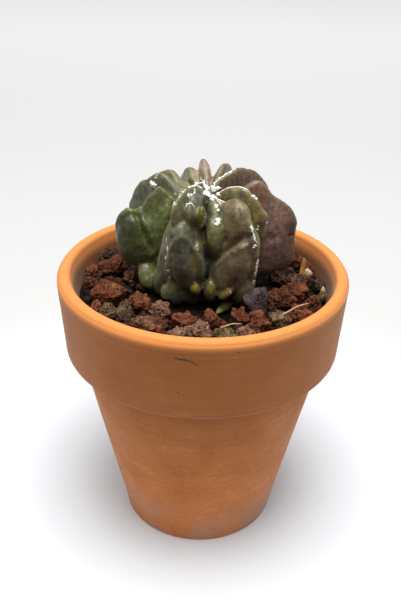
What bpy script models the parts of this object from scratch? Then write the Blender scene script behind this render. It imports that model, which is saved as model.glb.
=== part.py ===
"""A bishop's cap cactus in a clay pot, with its root ball and its top dressing of lava stones.

Metres, +Z up. The origin is the centre of the pot's foot, on the surface it stands on. Azimuths are
in degrees: 0 points along +X, 90 along +Y (the plant's back) and -90 towards its front.
"""
import math
import random
from typing import NamedTuple

import bmesh
import bpy
from mathutils import Matrix, Vector, noise

MM = 0.001
CLEARANCE = 0.3 * MM                    # gap between pieces that touch or rest on each other

# ---- the pot: a nominal 4 inch standard clay pot ----
RIM_RADIUS = 52.0 * MM
POT_HEIGHT = 104.6 * MM
FOOT_RADIUS = 29.6 * MM
BODY_TOP_RADIUS = 45.0 * MM             # where the tapered body meets the collar
COLLAR_FOOT_RADIUS = 50.3 * MM
COLLAR_FOOT_HEIGHT = 73.4 * MM
COLLAR_CORNER = 2.8 * MM                # rounding of the collar's lower edge
FOOT_CORNER = 0.8 * MM
LIP_OUTER_ROUND = 3.2 * MM
LIP_INNER_ROUND = 2.2 * MM
FLOOR_THICKNESS = 6.0 * MM
CAVITY_FOOT_RADIUS = 24.8 * MM
CAVITY_CORNER = 3.0 * MM
CAVITY_SLOPE = 0.226                    # growth of the inner radius with height
DRAIN_RADIUS = 6.5 * MM
TURNING_STEPS = 68

# ---- the root ball ----
SOIL_TOP = 94.3 * MM

# ---- the plant ----
STEM_X, STEM_Y = 1.5 * MM, 4.0 * MM     # the plant stands slightly behind the pot's centre
CROWN_HEIGHT = 130.0 * MM               # the woolly growing point, sunk between the ribs
CORE_BOTTOM = 97.0 * MM
CORE_PROFILE = ((3.0, 130.0), (6.0, 127.0), (10.4, 121.0), (13.0, 108.0), (13.0, 100.0))
NECK_RADIUS = 12.0 * MM                 # of the root neck, which narrows to its blunt end
NECK_FLARE = 1.5 * MM                   # how much wider it is where it meets the body
NECK_BOTTOM = 80.0 * MM
NECK_WAIST, NECK_TIP = 0.75, 0.40       # its radius half way down and at its end, over its own
NECK_OVERLAP = 6.0 * MM                 # how far it reaches up into the body
NECK_SIDES = 32
RIB_RINGS, RIB_SIDES = 48, 24
RIB_INSET = 5.0 * MM                    # the ribs spring from this far inside the core's ends
CAP_FULLNESS, CAP_POWER = 1.35, 0.6     # how soon a rib fills out from its ends
THINNING = 1.3                          # how late a rib thins from its root to its edge
FLANK_SQUARENESS = 0.55                 # 1 is elliptic, less is squarer
CREASE_SPREAD = 0.035                   # of a crease along the edge
VALLEY_SHARE = 0.20                     # half width that a rib may fill, over its distance out
VALLEY_FLOOR = 0.3 * MM
LUMP_SIDES, LUMP_RINGS = 16, 12
SKIN_VOXEL = 1.3 * MM
SKIN_DECIMATION = 0.25

# ---- the top dressing ----
STONE_BASE = SOIL_TOP + CLEARANCE       # every stone stands on its flattened underside
STONE_PROPORTION = 0.76                 # usual height of a stone over its width
STONE_LEAST_HEIGHT = 4.0 * MM
STONE_GAP = 0.35 * MM                   # least distance between two neighbours
STONE_ROUGHNESS = 0.22
PLANT_FOOT_RADIUS = 22.5 * MM           # stones keep outside this circle round the stem
SETTLING_ROUNDS = 200
STONE_WAVINESS = 1.3                    # of the lumps on a stone
STONE_CUT = 0.56                        # half its height over its lumpy shape, flattened beyond
BACK_STONES = 13
BACK_SEED = 11
BACK_ARC = (42.0, 138.0)                # azimuths between which they are strewn
BACK_REACHES = (40.0, 33.0)             # mm from the pot's axis, in turn
BACK_SCATTER = 1.0                      # mm
BACK_WIDTHS = (6.4, 8.2)                # mm
STRAW_RADIUS = 0.35 * MM
STRAW_BOW = 0.6 * MM
STRAW_STEPS = 6


class Rib(NamedTuple):
    """One rib: its azimuth, its edge from the crown to the foot, and how thick it is."""
    name: str
    azimuth: float
    edge: tuple                         # (reach, height) in mm along the edge
    root: float                         # half width at the core, mm
    tip: float                          # half width at the edge, mm
    swing: float = 0.0                  # degrees that the foot is turned from the crown
    creases: tuple = ()                 # (place along the edge 0..1, depth in mm)


RIBS = (
    Rib("right", 4, ((3, 129), (8, 131.5), (12.8, 133.5), (15.8, 135.6), (18.6, 134.4),
                     (22.8, 129.7), (27.5, 126.6), (31, 121.9), (32, 116), (31.8, 111),
                     (29.8, 106), (25, 102), (14, 98.5)), 5, 1.6, creases=((0.57, 0.9),)),
    Rib("right_front", -25, ((2, 132), (7.5, 135.6), (12.2, 135.3), (17, 132.7), (19.8, 129.6),
                             (22.2, 126.8), (22, 122.5), (21, 118), (18, 110), (11, 100)),
        4.6, 1.5, creases=((0.31, 0.5), (0.42, 0.5), (0.52, 0.6))),
    Rib("front_right", -60, ((3, 128), (9, 131), (15.5, 134.2), (19.5, 133.4), (21.8, 131),
                             (24, 128.5), (26.4, 125), (27.4, 120.5), (27, 113), (25.2, 107.5),
                             (23.4, 102.5), (13, 98)), 5, 1.7, swing=12),
    Rib("front_middle", -81, ((2, 131), (7, 133.2), (11, 132.3), (13.8, 129.8), (16.3, 127),
                              (17.8, 123.5), (17, 119), (13, 113), (8, 105)), 4, 2.1),
    Rib("front_left", -116, ((3, 133), (6, 136.2), (11, 138.2), (17, 137.8), (20.6, 136.4),
                             (23.4, 133.8), (24.2, 130.5), (23.4, 127), (21.6, 123.4),
                             (24.6, 118.5), (25.4, 114), (24.2, 108.4), (20.6, 102.5), (11, 98.5)),
        4.4, 1.5, swing=-11),
    Rib("left_front", -146, ((2, 129), (9, 130), (14, 127), (17.5, 121), (20, 114), (21.5, 107),
                             (20, 101.5), (12, 98)), 3.4, 1.6),
    Rib("left", -174, ((2, 127), (9, 127.5), (13.5, 129), (17.2, 133.8), (21.5, 129.8),
                       (25.2, 126), (28.7, 125.8), (31.6, 123.3), (33, 119.5), (32.6, 114),
                       (31.2, 108.8), (28, 104.5), (14, 98.5)), 5, 1.5, creases=((0.38, 0.9),)),
    Rib("back_left_low", 158, ((2, 129), (11, 131.5), (18, 135.4), (23.5, 132.7), (27.2, 129.8),
                               (30, 125), (31.5, 120), (29, 109), (16, 98.5)), 4.4, 1.5),
    Rib("back_left", 138, ((2, 129), (9, 130.5), (13.5, 131.6), (18.5, 134.4), (24, 132.2),
                           (28, 127), (29.5, 118), (27, 107), (15, 98.5)), 4.4, 1.5),
    Rib("back", 115, ((2, 130), (8, 131.5), (15.5, 134.6), (22, 131), (27, 120), (25, 107),
                      (14, 98.5)), 4.4, 2.4),
    Rib("back_thin", 98, ((2, 131), (8, 135), (16, 137.6), (22, 132), (26, 120), (23, 107),
                          (12, 98.5)), 3.4, 1.8),
    Rib("back_right", 70, ((2, 131), (8, 135.5), (16, 136.5), (24, 131.5), (30, 120), (27, 107),
                           (15, 98.5)), 4.4, 1.5),
    Rib("right_back", 38, ((1, 132.5), (3.5, 136.2), (8, 137.6), (13.5, 137.3), (19, 135.3),
                           (23, 132.4), (27, 127), (29, 118), (27, 108), (16, 98.5)), 4.8, 1.7),
)


class Lump(NamedTuple):
    """A small swelling or offset on the flank of the plant, an ellipsoid turned to its azimuth."""
    azimuth: float
    reach: float                        # mm from the plant's axis
    height: float                       # mm
    radii: tuple                        # mm: outwards, sideways, upwards
    tilt: float = 0.0                   # degrees of roll, positive with the top leaning clockwise
    bluntness: float = 1.0              # under 1 its shoulders are squared


LUMPS = (
    Lump(-107, 18.6, 130.4, (2.4, 2.2, 3.4), 6, 0.85),        # green bud under the front left crown
    Lump(-97, 17, 128.6, (2.6, 2.1, 4.4), -8, 0.85),          # yellow bud beside it
    Lump(-112, 14, 131, (3.6, 2.6, 4.5), 0, 0.9),             # head of the front left rib
    Lump(-107, 16, 122.5, (4, 2.4, 4.4), 10),                 # shoulder under the buds
    Lump(-111, 18, 115.2, (7.2, 5.8, 10.2), 12, 0.72),        # large swollen flank, front left
    Lump(-133, 17, 112.5, (6, 3.6, 10.5), -6, 0.85),          # side of the left front valley
    Lump(-99, 19.6, 105.3, (2.8, 2, 3), 25, 0.85),            # small yellow lumps at the foot
    Lump(-85, 16.6, 103.4, (3.4, 2.6, 4), 0, 0.85),
    Lump(-73, 19.6, 104.4, (2.8, 1.7, 4), -35, 0.85),
    Lump(-84, 12, 108, (4, 3.4, 6)),
    Lump(-83, 14, 120.5, (4.2, 3.7, 7.5), 4, 0.9),
    Lump(-63, 18.8, 113, (7.4, 5, 9.8), -20, 0.8),
    Lump(-59, 17.2, 126.8, (5.6, 3.6, 7.2), -8, 0.8),
    Lump(-173, 24.4, 114.4, (8.2, 4.7, 9.4), 0, 0.78),
    Lump(-165, 22.6, 103.8, (3.4, 2.3, 3)),
    Lump(-157, 20.6, 101.6, (3.2, 2.4, 3.2)),
    Lump(-137, 19.4, 100, (2.2, 2.2, 2.6), 0, 0.8),
    Lump(-117, 15.4, 103.2, (4.6, 3.6, 7.4), 4, 0.9),
    Lump(-68, 15.5, 98.6, (8, 2.2, 2.4), -25),                # low scale that reaches under the foot
)


def azimuth_vector(degrees):
    """Unit vector in plan for an azimuth."""
    angle = math.radians(degrees)
    return Vector((math.cos(angle), math.sin(angle), 0.0))


def smooth_path(points, place):
    """Point at place 0..1 of a Catmull-Rom curve through points, spaced by chord length."""
    spots = [Vector(p) for p in points]
    lengths = [(b - a).length for a, b in zip(spots, spots[1:])]
    travel = place * sum(lengths)
    index = 0
    while index < len(lengths) - 1 and travel > lengths[index]:
        travel -= lengths[index]
        index += 1
    t = min(1.0, travel / lengths[index])
    p1, p2 = spots[index], spots[index + 1]
    p0 = spots[index - 1] if index else 2 * p1 - p2
    p3 = spots[index + 2] if index + 2 < len(spots) else 2 * p2 - p1
    return 0.5 * (2 * p1 + (p2 - p0) * t + (2 * p0 - 5 * p1 + 4 * p2 - p3) * t * t
                  + (3 * p1 - p0 - 3 * p2 + p3) * t ** 3)


# ---- scene and material helpers ----

def clear_scene():
    for existing in list(bpy.data.objects):
        bpy.data.objects.remove(existing, do_unlink=True)


def new_collection(name):
    collection = bpy.data.collections.new(name)
    bpy.context.scene.collection.children.link(collection)
    return collection


def new_material(name, colour, roughness, metallic=0.0):
    material = bpy.data.materials.new(name)
    material.use_nodes = True
    shader = material.node_tree.nodes["Principled BSDF"]
    shader.inputs["Base Color"].default_value = (*colour, 1.0)
    shader.inputs["Roughness"].default_value = roughness
    shader.inputs["Metallic"].default_value = metallic
    return material


def mesh_object(name, bm, collection, material=None, smooth=True):
    """Turn a bmesh into an object of the collection."""
    mesh = bpy.data.meshes.new(name)
    bm.to_mesh(mesh)
    bm.free()
    if smooth:
        mesh.shade_smooth()
    obj = bpy.data.objects.new(name, mesh)
    collection.objects.link(obj)
    if material:
        mesh.materials.append(material)
    return obj


def turned_object(name, profile, collection, material):
    """Revolve an (radius, height) profile that runs down the outside and closes on itself."""
    bm = bmesh.new()
    verts = [bm.verts.new((radius, 0.0, height)) for radius, height in profile]
    for a, b in zip(verts, verts[1:] + verts[:1]):
        bm.edges.new((a, b))
    obj = mesh_object(name, bm, collection, material, smooth=False)
    screw = obj.modifiers.new("Turning", "SCREW")
    screw.axis = "Z"
    screw.angle = 2 * math.pi
    screw.steps = screw.render_steps = TURNING_STEPS
    screw.use_merge_vertices = True
    screw.merge_threshold = 0.00001
    screw.use_smooth_shade = True
    return obj


def arc(centre, radius, start, end, count):
    """Points of an arc in the profile's plane, angles in degrees."""
    points = []
    for step in range(count + 1):
        angle = math.radians(start + (end - start) * step / count)
        points.append((centre[0] + radius * math.cos(angle), centre[1] + radius * math.sin(angle)))
    return points


# ---- the pot and the root ball ----

def cavity_radius(height):
    """Inner radius of the pot's tapered cavity at a height above the ground."""
    return CAVITY_FOOT_RADIUS + CAVITY_SLOPE * (height - FLOOR_THICKNESS)


def make_pot(collection):
    lip_outer = (RIM_RADIUS - LIP_OUTER_ROUND, POT_HEIGHT - LIP_OUTER_ROUND)
    mouth_radius = cavity_radius(POT_HEIGHT)
    lip_inner = (mouth_radius + LIP_INNER_ROUND, POT_HEIGHT - LIP_INNER_ROUND)
    collar = (COLLAR_FOOT_RADIUS - COLLAR_CORNER, COLLAR_FOOT_HEIGHT + COLLAR_CORNER)
    foot = (FOOT_RADIUS - FOOT_CORNER, FOOT_CORNER)
    cavity = (CAVITY_FOOT_RADIUS - CAVITY_CORNER, FLOOR_THICKNESS + CAVITY_CORNER)
    profile = (arc(lip_outer, LIP_OUTER_ROUND, 90, 0, 4)
               + arc(collar, COLLAR_CORNER, 0, -90, 3)
               + [(BODY_TOP_RADIUS, COLLAR_FOOT_HEIGHT)]
               + arc(foot, FOOT_CORNER, 0, -90, 2)
               + [(DRAIN_RADIUS, 0.0), (DRAIN_RADIUS, FLOOR_THICKNESS)]
               + arc(cavity, CAVITY_CORNER, -90, 0, 3)
               + arc(lip_inner, LIP_INNER_ROUND, 180, 90, 3))
    clay = new_material("Terracotta", (0.52, 0.20, 0.09), 0.85)
    return turned_object("clay_pot", profile, collection, clay)


def make_soil(collection, pocket):
    """The root ball: a turned plug with a pocket where the plant's neck goes in."""
    bottom = FLOOR_THICKNESS + CLEARANCE
    corner = CAVITY_CORNER
    foot_radius = cavity_radius(bottom) - CLEARANCE
    edge_radius = cavity_radius(SOIL_TOP) - CLEARANCE
    profile = [(0.0, SOIL_TOP), (edge_radius, SOIL_TOP)]
    profile += arc((foot_radius - corner, bottom + corner), corner, 0, -90, 3) + [(0.0, bottom)]
    earth = new_material("Soil", (0.030, 0.020, 0.015), 0.95)
    bm = bmesh.new()
    verts = [bm.verts.new((radius, 0.0, height)) for radius, height in profile]
    edges = [bm.edges.new(pair) for pair in zip(verts, verts[1:])]
    bmesh.ops.spin(bm, geom=verts + edges, cent=(0, 0, 0), axis=(0, 0, 1), angle=2 * math.pi,
                   steps=TURNING_STEPS, use_merge=True)
    bmesh.ops.remove_doubles(bm, verts=bm.verts, dist=0.00001)
    bmesh.ops.recalc_face_normals(bm, faces=bm.faces)
    soil = mesh_object("potting_soil", bm, collection, earth)
    cut = soil.modifiers.new("Root pocket", "BOOLEAN")
    cut.operation = "DIFFERENCE"
    cut.object = pocket
    return soil


def neck_profile(offset=0.0):
    """Half profile of the plant's root neck, from under its body down to its blunt end."""
    return ((NECK_RADIUS + NECK_FLARE + offset, CORE_BOTTOM + NECK_OVERLAP),
            (NECK_RADIUS + offset, SOIL_TOP),
            (NECK_RADIUS * NECK_WAIST + offset, (SOIL_TOP + NECK_BOTTOM) / 2),
            (NECK_RADIUS * NECK_TIP + offset, NECK_BOTTOM - offset))


def add_turned(bm, profile, sides, centre):
    """Add a closed turned solid to a bmesh, its profile given from the top down."""
    verts = [bm.verts.new((radius, 0.0, height)) for radius, height in profile]
    top = bm.verts.new((0.0, 0.0, profile[0][1]))
    bottom = bm.verts.new((0.0, 0.0, profile[-1][1]))
    chain = [top] + verts + [bottom]
    edges = [bm.edges.new(pair) for pair in zip(chain, chain[1:])]
    made = bmesh.ops.spin(bm, geom=chain + edges, cent=(0, 0, 0), axis=(0, 0, 1),
                          angle=2 * math.pi, steps=sides, use_merge=True)
    bmesh.ops.remove_doubles(bm, verts=bm.verts, dist=0.00001)
    bmesh.ops.recalc_face_normals(bm, faces=bm.faces)
    bmesh.ops.translate(bm, verts=bm.verts, vec=(*centre, 0.0))
    return made


def make_pocket(collection):
    """Cutter for the pocket in the root ball, one clearance larger than the neck all round."""
    bm = bmesh.new()
    add_turned(bm, neck_profile(CLEARANCE), NECK_SIDES, (STEM_X, STEM_Y))
    pocket = mesh_object("root_pocket_cutter", bm, collection)
    pocket.hide_render = True
    pocket.display_type = "WIRE"
    return pocket


# ---- the plant ----

def rib_bmesh(rib):
    """A rib: a sphere drawn out into a fin, thick at the core and narrow at its rounded edge."""
    bm = bmesh.new()
    bmesh.ops.create_uvsphere(bm, u_segments=RIB_SIDES, v_segments=RIB_RINGS, radius=1.0)
    base = Vector((STEM_X, STEM_Y, 0.0))
    core_top, core_foot = CROWN_HEIGHT - RIB_INSET, CORE_BOTTOM + RIB_INSET
    for vert in bm.verts:
        along = math.acos(max(-1.0, min(1.0, vert.co.z))) / math.pi
        around = math.atan2(vert.co.y, vert.co.x)
        reach, height = smooth_path(rib.edge, along) * MM
        dent = sum(depth * math.exp(-((along - place) / CREASE_SPREAD) ** 2)
                   for place, depth in rib.creases) * MM
        cap = min(1.0, CAP_FULLNESS * math.sin(math.pi * along) ** CAP_POWER)
        outward = azimuth_vector(rib.azimuth + rib.swing * along)
        sideways = Vector((-outward.y, outward.x, 0.0))
        inner = base + Vector((0, 0, core_top + (core_foot - core_top) * along))
        outer = base + outward * (reach - dent) + Vector((0, 0, height))
        middle, half = (inner + outer) / 2, (outer - inner) / 2
        outness, side = math.cos(around), math.sin(around)
        spot = middle + cap * half * outness
        thinned = ((1 + outness) / 2) ** THINNING
        width = (rib.root + (rib.tip - rib.root) * thinned) * MM
        room = VALLEY_SHARE * (spot - base).xy.length + VALLEY_FLOOR
        squared = math.copysign(abs(side) ** FLANK_SQUARENESS, side)
        vert.co = spot + cap * sideways * min(width, room) * squared
    return bm


def lump_bmesh(lump):
    """An ellipsoid turned to its azimuth and rolled by its tilt, squared if it is blunt."""
    bm = bmesh.new()
    bmesh.ops.create_uvsphere(bm, u_segments=LUMP_SIDES, v_segments=LUMP_RINGS, radius=1.0)
    outward = azimuth_vector(lump.azimuth)
    sideways = Vector((-outward.y, outward.x, 0.0))
    centre = Vector((STEM_X, STEM_Y, lump.height * MM)) + outward * lump.reach * MM
    roll = math.radians(lump.tilt)
    for vert in bm.verts:
        out, side, up = (math.copysign(abs(c) ** lump.bluntness, c) * r * MM
                         for c, r in zip(vert.co, lump.radii))
        side, up = (side * math.cos(roll) - up * math.sin(roll),
                    side * math.sin(roll) + up * math.cos(roll))
        vert.co = centre + outward * out + sideways * side + Vector((0, 0, up))
    return bm


def core_bmesh():
    """The plant's core, dipped at the crown and drawn in at the foot, with its root neck."""
    bm = bmesh.new()
    profile = tuple((radius * MM, height * MM) for radius, height in CORE_PROFILE)
    profile += ((NECK_RADIUS, CORE_BOTTOM),) + neck_profile()[1:]
    add_turned(bm, profile, NECK_SIDES, (STEM_X, STEM_Y))
    return bm


def make_cactus(collection):
    """Core, ribs and lumps grown together into one skin."""
    whole = bpy.data.meshes.new("cactus")
    joined = bmesh.new()
    pieces = [core_bmesh()] + [rib_bmesh(rib) for rib in RIBS] + [lump_bmesh(lump) for lump in LUMPS]
    for piece in pieces:
        bmesh.ops.recalc_face_normals(piece, faces=piece.faces)
        piece.to_mesh(whole)
        piece.free()
        joined.from_mesh(whole)
    skin = new_material("Cactus skin", (0.09, 0.12, 0.05), 0.45)
    plant = mesh_object("cactus", joined, collection, skin)
    bpy.data.meshes.remove(whole)
    remesh = plant.modifiers.new("Grown together", "REMESH")
    remesh.mode = "VOXEL"
    remesh.voxel_size = SKIN_VOXEL
    remesh.use_smooth_shade = True
    relax = plant.modifiers.new("Soft skin", "SMOOTH")
    relax.factor = 0.5
    relax.iterations = 2
    thin = plant.modifiers.new("Coarser", "DECIMATE")
    thin.ratio = SKIN_DECIMATION
    return plant


# ---- the top dressing ----

class Stone(NamedTuple):
    """A loose stone by the place and width it has in plan, in mm; height 0 means the usual one."""
    kind: str
    x: float
    y: float
    width: float
    height: float = 0.0


FRONT_STONES = (
    # left side, from the back round to the front
    Stone("lava", -31.0, 29.0, 5.0), Stone("lava", -36.4, 20.4, 8.0, 6.6),
    Stone("lava", -41.0, 8.0, 6.0), Stone("lava", -33.6, 10.3, 9.5, 6.5),
    Stone("lava", -40.0, -1.0, 5.7), Stone("lava", -31.8, -11.4, 13.0, 8.0),
    Stone("lava", -26.0, 2.7, 5.8, 5.6), Stone("pumice", -31.5, -21.8, 6.0, 5.6),
    Stone("pumice", -27.0, -20.0, 4.8, 5.4), Stone("lava", -35.5, -20.0, 4.2, 5.0),
    Stone("lava", -20.9, -16.9, 7.0, 6.4), Stone("lava", -14.4, -22.7, 7.2, 7.0),
    Stone("lava", -24.4, -26.2, 6.0), Stone("lava", -18.5, -31.0, 7.8),
    # front
    Stone("lava", -13.5, -33.5, 4.6, 4.6), Stone("lava", -8.3, -35.1, 5.8, 5.0),
    Stone("lava", -1.9, -34.9, 8.3), Stone("lava", -6.0, -26.9, 7.2),
    Stone("lava", 3.2, -27.8, 7.3, 6.0), Stone("pumice", 7.7, -36.0, 7.0, 5.0),
    Stone("lava", 14.2, -34.2, 5.8, 4.8), Stone("lava", 12.6, -23.5, 7.3),
    Stone("lava", 18.4, -28.6, 7.9, 6.2), Stone("grey", 18.3, -16.2, 8.5, 10.4),
    # right side, from the front round to the back
    Stone("pumice", 25.7, -25.5, 7.3), Stone("lava", 26.5, -13.4, 9.3, 7.4),
    Stone("lava", 33.0, -7.4, 8.4, 7.0), Stone("lava", 33.4, -21.2, 7.4),
    Stone("lava", 38.2, -14.2, 6.2, 5.6), Stone("pumice", 42.0, -7.6, 3.6, 4.6),
    Stone("grit", 44.0, -3.2, 2.2, 4.2), Stone("lava", 37.9, 1.6, 7.0, 5.8),
    Stone("lava", 42.2, 1.0, 4.8, 5.2), Stone("lava", 30.3, 6.2, 9.0, 6.6),
    Stone("grit", 39.3, 10.4, 3.4, 4.6), Stone("chip", 35.6, 5.4, 2.6, 9.4),
    Stone("lava", 38.6, 15.0, 5.0, 5.2),
    Stone("lava", 33.5, 18.0, 8.2, 6.2), Stone("lava", 37.0, 23.0, 4.6, 5.0),
)
STONE_LOOKS = {                         # node name, colour, roughness of each kind
    "lava": ("lava_stone", (0.17, 0.055, 0.035), 0.95),
    "pumice": ("pumice_stone", (0.15, 0.11, 0.06), 0.9),
    "grey": ("grey_stone", (0.13, 0.10, 0.11), 0.75),
    "grit": ("pale_grit", (0.55, 0.38, 0.24), 0.6),
    "chip": ("wood_chip", (0.50, 0.27, 0.09), 0.8),
}
CHIP_SIZE = (2.4 * MM, 0.9 * MM)        # its width and thickness at the foot
CHIP_TURN = math.radians(20)
CHIP_LEAN = 1.6 * MM
STRAWS = (                              # start and end in plan, mm
    ((26.5, -27.0), (35.5, -19.5)),
    ((6.0, -35.0), (12.5, -33.0)),
)


def back_stones():
    """The stones behind the plant, strewn evenly over the back of the ring."""
    rng = random.Random(BACK_SEED)
    stones = []
    for index in range(BACK_STONES):
        azimuth = BACK_ARC[0] + (BACK_ARC[1] - BACK_ARC[0]) * (index + 0.5) / BACK_STONES
        reach = BACK_REACHES[index % 2] + rng.uniform(-BACK_SCATTER, BACK_SCATTER)
        spot = azimuth_vector(azimuth) * reach
        stones.append(Stone("lava", spot.x, spot.y, rng.uniform(*BACK_WIDTHS)))
    return stones


def settle(stones):
    """Move the stones apart in plan until none touches its neighbour, the wall or the plant."""
    spots = [Vector((stone.x, stone.y)) * MM for stone in stones]
    radii = [stone.width / 2 * MM for stone in stones]
    stem = Vector((STEM_X, STEM_Y))
    for _ in range(SETTLING_ROUNDS):
        for i, spot in enumerate(spots):
            for j in range(i):
                between = spot - spots[j]
                short = radii[i] + radii[j] + STONE_GAP - between.length
                if short > 0:
                    push = between.normalized() * (0.5 * short)
                    spot += push
                    spots[j] -= push
        for spot, radius in zip(spots, radii):
            wall = cavity_radius(SOIL_TOP) - radius - CLEARANCE
            if spot.length > wall:
                spot *= wall / spot.length
            from_stem = spot - stem
            clear = PLANT_FOOT_RADIUS + radius
            if from_stem.length < clear:
                spot += from_stem.normalized() * (clear - from_stem.length)
    return spots


def stone_height(stone):
    return max(STONE_LEAST_HEIGHT, (stone.height or STONE_PROPORTION * stone.width) * MM)


def make_stone(name, stone, spot, seed, collection, material):
    """A lumpy stone inside its circle in plan, flat where it stands and a little flat on top."""
    bm = bmesh.new()
    bmesh.ops.create_icosphere(bm, subdivisions=2, radius=1.0)
    shift = Vector((3.7 * seed, 1.9 * seed, 0.0))
    for vert in bm.verts:
        vert.co *= 1.0 + STONE_ROUGHNESS * noise.noise(STONE_WAVINESS * vert.co + shift)
    widest = max(vert.co.xy.length for vert in bm.verts)
    height = stone_height(stone)
    for vert in bm.verts:
        vert.co.xy *= stone.width / 2 * MM / widest
        level = min(1.0, max(0.0, 0.5 + STONE_CUT * vert.co.z))
        vert.co.z = STONE_BASE + height * level
    bmesh.ops.translate(bm, verts=bm.verts, vec=(spot.x, spot.y, 0.0))
    return mesh_object(name, bm, collection, material, smooth=False)


def make_chip(name, stone, spot, collection, material):
    """A splinter that stands on end between the stones, narrower and leaning at its top."""
    bm = bmesh.new()
    bmesh.ops.create_cube(bm, size=1.0)
    height = stone_height(stone)
    for vert in bm.verts:
        raised = vert.co.z + 0.5
        vert.co.x *= CHIP_SIZE[0] * (1.0 - 0.5 * raised)
        vert.co.y *= CHIP_SIZE[1] * (1.0 - 0.3 * raised)
        vert.co.x += CHIP_LEAN * raised
        vert.co.z = STONE_BASE + height * raised
    bmesh.ops.rotate(bm, verts=bm.verts, cent=(0, 0, 0), matrix=Matrix.Rotation(CHIP_TURN, 3, "Z"))
    bmesh.ops.translate(bm, verts=bm.verts, vec=(spot.x, spot.y, 0.0))
    return mesh_object(name, bm, collection, material, smooth=False)


def make_straw(name, start, end, tops, collection, material):
    """A dry stalk lying level on the highest stones that it crosses."""
    start, end = Vector(start) * MM, Vector(end) * MM
    path = [start.lerp(end, step / STRAW_STEPS) for step in range(STRAW_STEPS + 1)]
    under = [top for spot, radius, top in tops
             if any((point - spot).length < 0.5 * radius for point in path)]
    level = max(under) + CLEARANCE + STRAW_RADIUS
    bow = (end - start).orthogonal().normalized() * STRAW_BOW
    curve = bpy.data.curves.new(name, "CURVE")
    curve.dimensions = "3D"
    curve.bevel_depth = STRAW_RADIUS
    curve.bevel_resolution = 1
    curve.use_fill_caps = True
    spline = curve.splines.new("POLY")
    spline.points.add(STRAW_STEPS)
    for step, (target, point) in enumerate(zip(spline.points, path)):
        place = point + bow * math.sin(math.pi * step / STRAW_STEPS)
        target.co = (place.x, place.y, level, 1.0)
    curve.materials.append(material)
    straw = bpy.data.objects.new(name, curve)
    collection.objects.link(straw)
    return straw


def make_dressing(collection):
    """Every stone, splinter and stalk in its own node, numbered by kind."""
    stones = list(FRONT_STONES) + back_stones()
    spots = settle(stones)
    materials = {kind: new_material(name, colour, roughness)
                 for kind, (name, colour, roughness) in STONE_LOOKS.items()}
    counts = dict.fromkeys(STONE_LOOKS, 0)
    for seed, (stone, spot) in enumerate(zip(stones, spots)):
        counts[stone.kind] += 1
        base_name = STONE_LOOKS[stone.kind][0]
        if stone.kind == "chip":
            make_chip(base_name, stone, spot, collection, materials["chip"])
            continue
        name = base_name if stone.kind == "grey" else f"{base_name}_{counts[stone.kind]:02d}"
        make_stone(name, stone, spot, seed, collection, materials[stone.kind])
    tops = [(spot, stone.width / 2 * MM, STONE_BASE + stone_height(stone))
            for stone, spot in zip(stones, spots)]
    dry = new_material("Dry straw", (0.42, 0.30, 0.15), 0.8)
    for number, (start, end) in enumerate(STRAWS, 1):
        make_straw(f"dry_straw_{number:02d}", start, end, tops, collection, dry)


def main():
    clear_scene()
    parts = new_collection("Potted bishop's cap cactus")
    cutters = new_collection("Cutters")
    pocket = make_pocket(cutters)
    make_pot(parts)
    make_soil(parts, pocket)
    make_cactus(parts)
    make_dressing(parts)


main()
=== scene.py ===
"""Looks of a potted bishop's cap cactus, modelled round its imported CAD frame.

Metres, +Z up, in the frame of the CAD: the origin is the centre of the pot's foot, on the floor.
Azimuths are in degrees: 0 points along +X, 90 along +Y (the plant's back) and -90 to its front.
"""
import logging
import math
import random
from dataclasses import dataclass
from enum import Enum
from typing import Callable, Iterable, Sequence

import bmesh
import bpy
from mathutils import Matrix, Vector, noise
from mathutils.bvhtree import BVHTree
from mathutils.kdtree import KDTree


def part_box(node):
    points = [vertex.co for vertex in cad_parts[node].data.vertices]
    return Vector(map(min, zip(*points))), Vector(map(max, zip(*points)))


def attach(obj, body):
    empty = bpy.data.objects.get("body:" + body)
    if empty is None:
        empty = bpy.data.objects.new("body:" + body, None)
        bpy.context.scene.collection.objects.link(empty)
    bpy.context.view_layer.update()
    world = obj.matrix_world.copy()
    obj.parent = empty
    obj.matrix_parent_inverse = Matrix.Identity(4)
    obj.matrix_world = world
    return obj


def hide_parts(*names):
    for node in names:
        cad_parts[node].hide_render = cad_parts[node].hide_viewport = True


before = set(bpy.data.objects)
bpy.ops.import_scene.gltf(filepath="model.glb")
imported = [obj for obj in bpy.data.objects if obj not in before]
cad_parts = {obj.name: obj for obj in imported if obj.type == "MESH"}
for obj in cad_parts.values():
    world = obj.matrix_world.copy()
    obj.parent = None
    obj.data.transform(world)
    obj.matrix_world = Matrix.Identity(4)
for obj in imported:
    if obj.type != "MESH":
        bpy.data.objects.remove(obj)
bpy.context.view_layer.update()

MM = 0.001
BODY = "root"
MERGE = 0.00001                         # vertices closer than this are one
STONE_SEED = 1000
LOG = logging.getLogger("potted_cactus")

Shape = bmesh.types.BMesh
Mesh = bpy.types.Mesh
Piece = bpy.types.Object
Material = bpy.types.Material
Tree = bpy.types.NodeTree
Node = bpy.types.Node
Socket = bpy.types.NodeSocket
Colour = tuple[float, float, float]
Point = tuple[float, float, float]
UP = Vector((0.0, 0.0, 1.0))


# ---- shared helpers ----

def show(name: str, data: Mesh | bpy.types.Light | bpy.types.Camera) -> Piece:
    """Put data in the scene as a new object.

    Args:
        name: the object's name.
        data: its mesh, light or camera.

    Returns:
        The new object.
    """
    made = bpy.data.objects.new(name, data)
    bpy.context.scene.collection.objects.link(made)
    return made


def surface_of(mesh: Mesh) -> BVHTree:
    """The mesh's surface, ready for nearest points and rays."""
    return BVHTree.FromPolygons([v.co for v in mesh.vertices], [p.vertices for p in mesh.polygons])


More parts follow.
